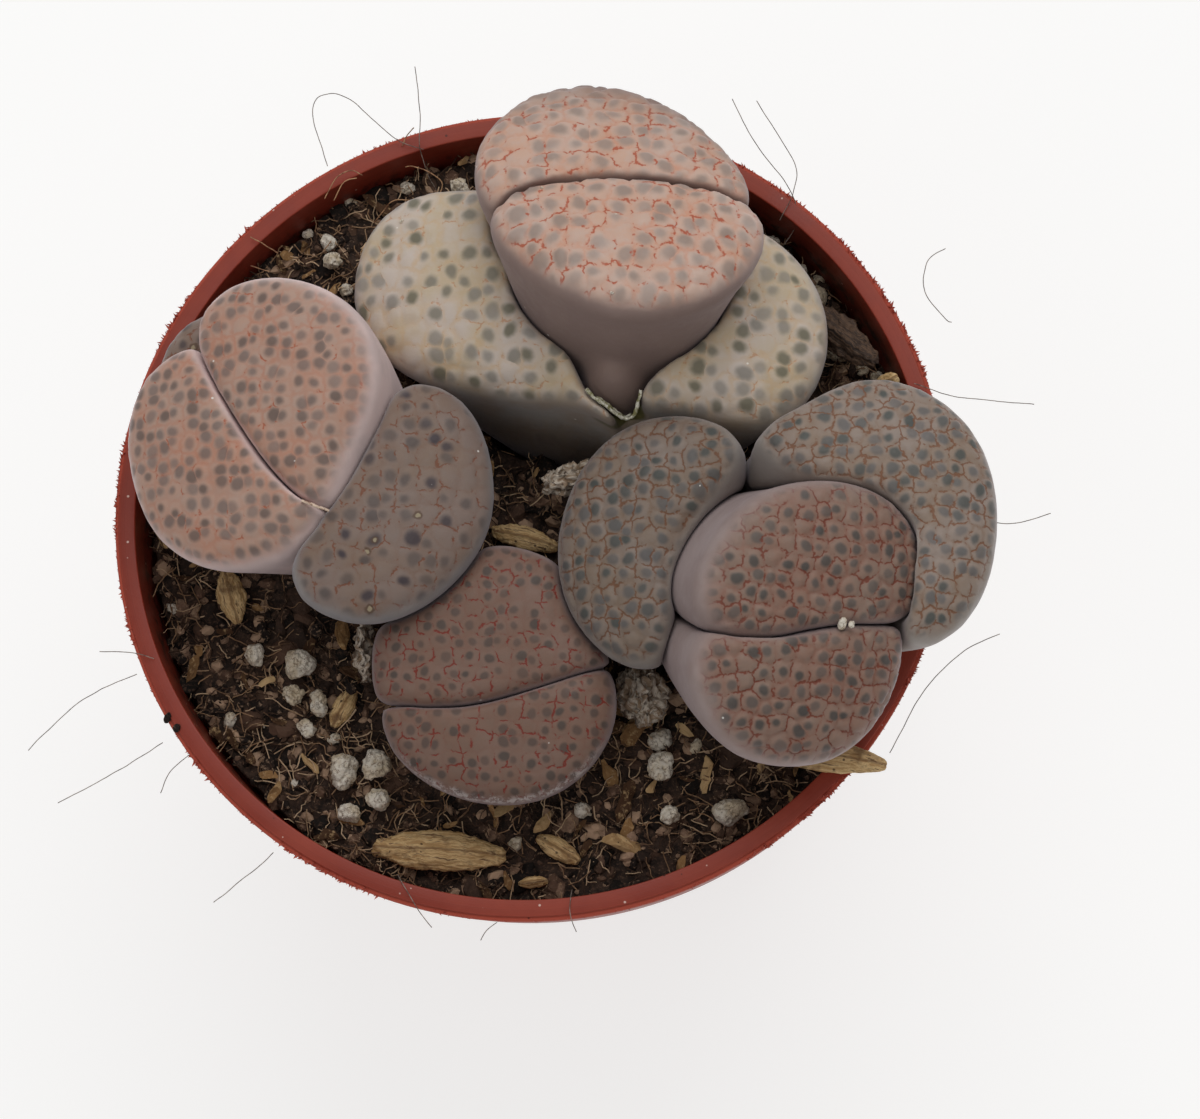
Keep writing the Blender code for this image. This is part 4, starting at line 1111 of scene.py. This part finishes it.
# the slot is dry_leaf and the fold 0.2 unless one is given
litter = {
    "dry_leaf_front": {"crinkle": 0.35}, "dry_leaf_small": {"crinkle": 0.2},
    "curled_husk": {"crinkle": 0.2}, "dry_leaf_right": {"crinkle": 0.14},
    "husk_left": {"crinkle": 0.3}, "husk_triangular": {"crinkle": 0.25},
    "husk_left_rim": {"crinkle": 0.2}, "husk_right_rim": {"crinkle": 0.25},
    "bark_strip": {"slot": "bark", "crinkle": 0.5}, "dry_leaf_centre": {"crinkle": 0.3},
    "dead_leaf_right": {"slot": "papery_skin", "crinkle": 1.3, "fold": 1.6},
    "dead_leaf_left": {"slot": "papery_skin", "crinkle": 1.0, "fold": 1.6},
    "crumb_centre": {"slot": "papery_skin", "crinkle": 1.3, "fold": 1.6},
}
litterColours = {
    "dry_leaf": (paint(186, 148, 98), paint(224, 192, 140), paint(104, 70, 42)),
    "bark": (paint(58, 42, 32), paint(96, 72, 54), paint(32, 22, 17)),
    "papery_skin": (paint(164, 140, 116), paint(226, 214, 198), paint(78, 56, 42)),
}


def litterMaterial(name, base, light, dark):
    material, shader, place = newMaterial(name, Roughness=0.75)
    grain = stored(treeOf(place), "grainPlace")
    thread = noiseTex(vecCalc("MULTIPLY", grain, (0.35, 6.0, 3.0)), 1.0, 4.0, 0.65)
    blotch = noiseTex(place, 0.7, 3.0, 0.6)
    colour = mixed(mapped(thread, 0.42, 0.56), base, light)
    colour = mixed(mapped(thread, 0.55, 0.66, 0.0, 0.9), colour, dark)
    across = calc("ABSOLUTE", axisOf(grain, "Y"))
    colour = mixed(mapped(across, 0.04, 0.14, 0.6, 0.0), colour, dark)
    colour = mixed(mapped(blotch, 0.55, 0.75, 0.0, 0.7), colour, dark)
    colour = dusted(colour, place, 0.8, 0.08, 0.25, 0.8, paint(62, 40, 26))
    paintWith(shader, colour)
    setBump(shader, thread, 0.8, 0.0002)
    return material


def litterTree():
    tree, given = newTree("crinkle", Crinkle=0.3, Fold=0.3, Material=None)
    depth = times(given["Crinkle"], 0.0016)
    grain = attribute(tree, "grainPlace", "FLOAT_VECTOR")
    folds = noiseTex(vecCalc("MULTIPLY", grain, (0.5, 1.8, 1.4)), 1.0, 3.0, 0.6)
    ridges = noiseTex(vecCalc("MULTIPLY", grain, (0.45, 1.1, 1.0)), 1.3, 2.0)
    ridges = calc("ABSOLUTE", minus(ridges, 0.5))
    creases = minus(minus(folds, 0.4), times(ridges, given["Fold"]))
    rise = times(creases, depth)
    normal = field(tree, "Normal")
    tatter = vecCalc("SUBTRACT", noiseTex(grain, 0.9, 3.0, 0.7, output=1), (0.5, 0.5, 0.5))
    tatter = scaled(tatter, depth)
    shaped = moved(tree, given["Geometry"], vecCalc("ADD", scaled(normal, rise), tatter))
    endTree(tree, shaped, given["Material"])
    return tree


def makeLitter(node, s, tree, slot, material):
    piece = mergedCopy(node + "_dry", node)
    finer = piece.modifiers.new("finer", "SUBSURF")
    finer.levels = finer.render_levels = 3
    settle(piece)
    places = placesOf(piece)
    centred = (places - places.mean(axis=0)) / mm
    axes = np.linalg.svd(centred, full_matrices=False)[2]  # longest way first
    grain = centred @ axes.T
    laid = piece.data.attributes.new("grainPlace", "FLOAT_VECTOR", "POINT")
    laid.data.foreach_set("vector", grain.astype(np.float32).ravel())
    grow(piece, tree, Crinkle=s["crinkle"], Fold=s.get("fold", 0.2), Material=material)
    return finishPiece(piece, slot, node)


litterMaterials = {title: litterMaterial(title, *colours)
                   for title, colours in litterColours.items()}
crinkle = litterTree()
for node, s in litter.items():
    slot = s.get("slot", "dry_leaf")
    makeLitter(node, s, crinkle, slot, litterMaterials[slot])
print("litter made")

# hairs, torn edges and specks: paths in millimetres

strands = {
    "looseHairs": {
        "slot": "bark", "radius": 0.034, "wander": 0.5, "rough": 0.0,
        "colours": (paint(92, 78, 70), paint(150, 136, 126)), "paths": (
            ((-16.3, 28.4, 53), (-17.3, 32.9, 54), (-16.0, 33.8, 55), (-14.0, 33.2, 55),
             (-10.8, 30.4, 53.6), (-8.6, 29.6, 53.2)),
            ((-9.0, 35.6, 56), (-8.7, 32.2, 54.5), (-8.8, 29.3, 53.2), (-7.5, 26.7, 50),
             (-6.3, 23.8, 49.5)),
            ((16.1, 32.2, 56), (18.0, 28.7, 55), (20.5, 25.5, 53.4), (20.9, 23.2, 52),
             (19.3, 21.1, 50)),
            ((18.0, 32.0, 56), (20.0, 28.9, 55), (21.1, 26.5, 54), (19.7, 23.2, 53)),
            ((32.6, 20.2, 54), (31.2, 19.1, 54), (31.0, 16.8, 53.6), (32.5, 14.4, 54),
             (33.0, 14.1, 54)),
            ((30.0, 9.4, 53.3), (33.9, 7.9, 54), (39.2, 7.1, 54.5)),
            ((34.4, -2.1, 55), (37.1, -2.6, 55), (40.3, -1.8, 55)),
            ((27.6, -20.0, 53.5), (30.3, -15.3, 54), (33.4, -12.2, 54), (36.1, -11.0, 54)),
            ((-38.5, -19.0, 54), (-34.6, -15.1, 53.8), (-30.4, -12.9, 53.2)),
            ((-36.1, -23.1, 54), (-32.1, -21.0, 53.8), (-28.3, -18.3, 53)),
            ((-33.2, -11.2, 54), (-31.2, -11.2, 53.7), (-29.1, -11.7, 53.2)),
            ((-28.2, -22.4, 53.8), (-27.6, -20.7, 53.4), (-26.2, -19.3, 53)),
            ((-23.9, -31.0, 54), (-21.9, -29.3, 53.7), (-19.5, -27.0, 53)),
            ((-7.2, -33.0, 53.6), (-8.7, -31.0, 53.4), (-10.0, -28.8, 53)),
            ((-3.5, -34.2, 53.8), (-3.1, -33.4, 53.6), (-2.3, -32.7, 53.2)),
            ((3.7, -33.6, 53.8), (3.2, -32.1, 53.4), (3.4, -30.2, 53)))},
    "rimFibres": {
        "slot": "peat", "radius": 0.045, "wander": 1.1, "rough": 0.03,
        "colours": (paint(126, 84, 58), paint(196, 152, 112)), "paths": (
            ((-16.4, 25.8, 53.2), (-15.5, 27.1, 53.7), (-14.1, 27.6, 53.9), (-13.3, 27.2, 53.6)),
            ((-15.6, 25.6, 53.2), (-14.9, 26.6, 53.8), (-13.8, 27.1, 53.4)),
            ((-10.2, 28.0, 53.2), (-8.5, 27.6, 53.9), (-6.9, 26.8, 53.5), (-7.6, 25.6, 52.6)),
            ((-10.4, 29.9, 53.2), (-9.9, 30.6, 53.6), (-9.3, 31.1, 54.2)),
            ((-22.1, 22.5, 53.5), (-21.1, 21.9, 53.3), (-20.1, 21.2, 53.1)),
            ((-22.1, 20.2, 53.2), (-20.8, 19.8, 53.0)),
            ((-12.6, 24.6, 50.5), (-11.2, 25.8, 52.0), (-9.4, 25.6, 52.4), (-8.6, 24.4, 51.2)))},
    "tornEdge": {
        "slot": "papery_skin", "radius": 0.13, "wander": 0.5, "rough": 0.42,
        "colours": (paint(142, 138, 92), paint(240, 236, 220)), "paths": (
            ((4.75, 7.6, 59.35), (5.35, 6.95, 59.15), (6.15, 6.45, 58.75), (6.95, 5.95, 57.95),
             (7.6, 5.75, 57.3), (8.3, 5.95, 57.5), (8.7, 6.75, 58.2), (8.95, 7.6, 58.8)),
            ((5.6, 7.0, 58.9), (6.4, 6.55, 58.3), (7.1, 6.25, 57.2), (7.6, 6.2, 56.4),
             (8.1, 6.3, 56.6)))},
    "healedSlit": {
        "slot": "papery_skin", "radius": 0.12, "wander": 0.2, "rough": 0.15,
        "colours": (paint(122, 72, 48), paint(228, 204, 182)), "paths": (
            ((-16.5, -1.9, 62.75), (-15.4, -2.35, 62.6), (-14.5, -2.6, 62.15)),)},
}


def strandTree():
    tree, given = newTree("strand", Radius=0.00004, Wander=0.0003, Rough=0.0, Material=None)
    line = built(tree, "MeshToCurve", Mesh=given["Geometry"])
    line = built(tree, "CurveSplineType", Curve=line, spline_type="CATMULL_ROM")
    line = built(tree, "ResampleCurve", Curve=line, Length=0.00022, mode="LENGTH")
    spot = field(tree, "Position")
    shake = vecCalc("SUBTRACT", noiseTex(spot, 260.0, 2.0, output=1), (0.5, 0.5, 0.5))
    line = moved(tree, line, scaled(shake, given["Wander"]))
    swell = mapped(noiseTex(spot, 900.0, 2.0), 0.3, 0.7, 0.65, 1.3)
    line = built(tree, "SetCurveRadius", Curve=line, Radius=swell)
    ring = built(tree, "CurvePrimitiveCircle", Resolution=8, Radius=given["Radius"])
    tube = built(tree, "CurveToMesh", Curve=line, Profile_Curve=ring, Fill_Caps=True)
    ragged = vecCalc("SUBTRACT", noiseTex(spot, 3000.0, 3.0, 0.7, output=1), (0.5, 0.5, 0.5))
    tube = moved(tree, tube, scaled(ragged, given["Rough"]))
    endTree(tree, tube, given["Material"])
    return tree


def strandMaterial(name, dark, light):
    material, shader, place = newMaterial(name, Roughness=0.7)
    tone = noiseTex(place, 1.6, 3.0, 0.65)
    paintWith(shader, mixed(mapped(tone, 0.4, 0.6), dark, light))
    return material


def makeStrands(name, s, tree):
    points = [point for path in s["paths"] for point in inMetres(path)]
    edges, first = [], 0
    for path in s["paths"]:
        edges += [(first + i, first + i + 1) for i in range(len(path) - 1)]
        first += len(path)
    mesh = bpy.data.meshes.new(name)
    mesh.from_pydata(points, edges, [])
    piece = newPiece(name, mesh)
    grow(piece, tree, Radius=s["radius"] * mm, Wander=s["wander"] * mm, Rough=s["rough"] * mm,
         Material=strandMaterial(name, *s["colours"]))
    print(name, len(piece.data.polygons), "faces")
    return finishPiece(piece, s["slot"])


strand = strandTree()
for name, s in strands.items():
    makeStrands(name, s, strand)

specks = {  # x, y, z and radius
    "white": ((24.2, -12.45, 64.15, 0.42), (24.9, -12.6, 64.3, 0.3), (7.6, 18.83, 67.35, 0.13),
              (7.39, 12.13, 68.85, 0.12), (1.91, 21.48, 66.35, 0.1), (-9.71, 22.0, 57.75, 0.16),
              (17.42, 14.25, 58.85, 0.13)),
    "brown": ((-27.9, -16.4, 53.1, 0.4), (-27.2, -17.2, 53.1, 0.3), (-19.7, -2.6, 52.0, 0.5),
              (-18.9, -5.4, 51.2, 0.4), (-16.9, -8.9, 50.2, 0.5), (-14.1, -13.4, 49.6, 0.5)),
}
makeGrains("paleSpecks", inMetres(specks["white"]), grains, "perlite")
makeGrains("brownCrumbs", inMetres(specks["brown"]), grainTree(scatteredFinishes["soilCrumbs"]),
           "peat")
print("loose pieces made")
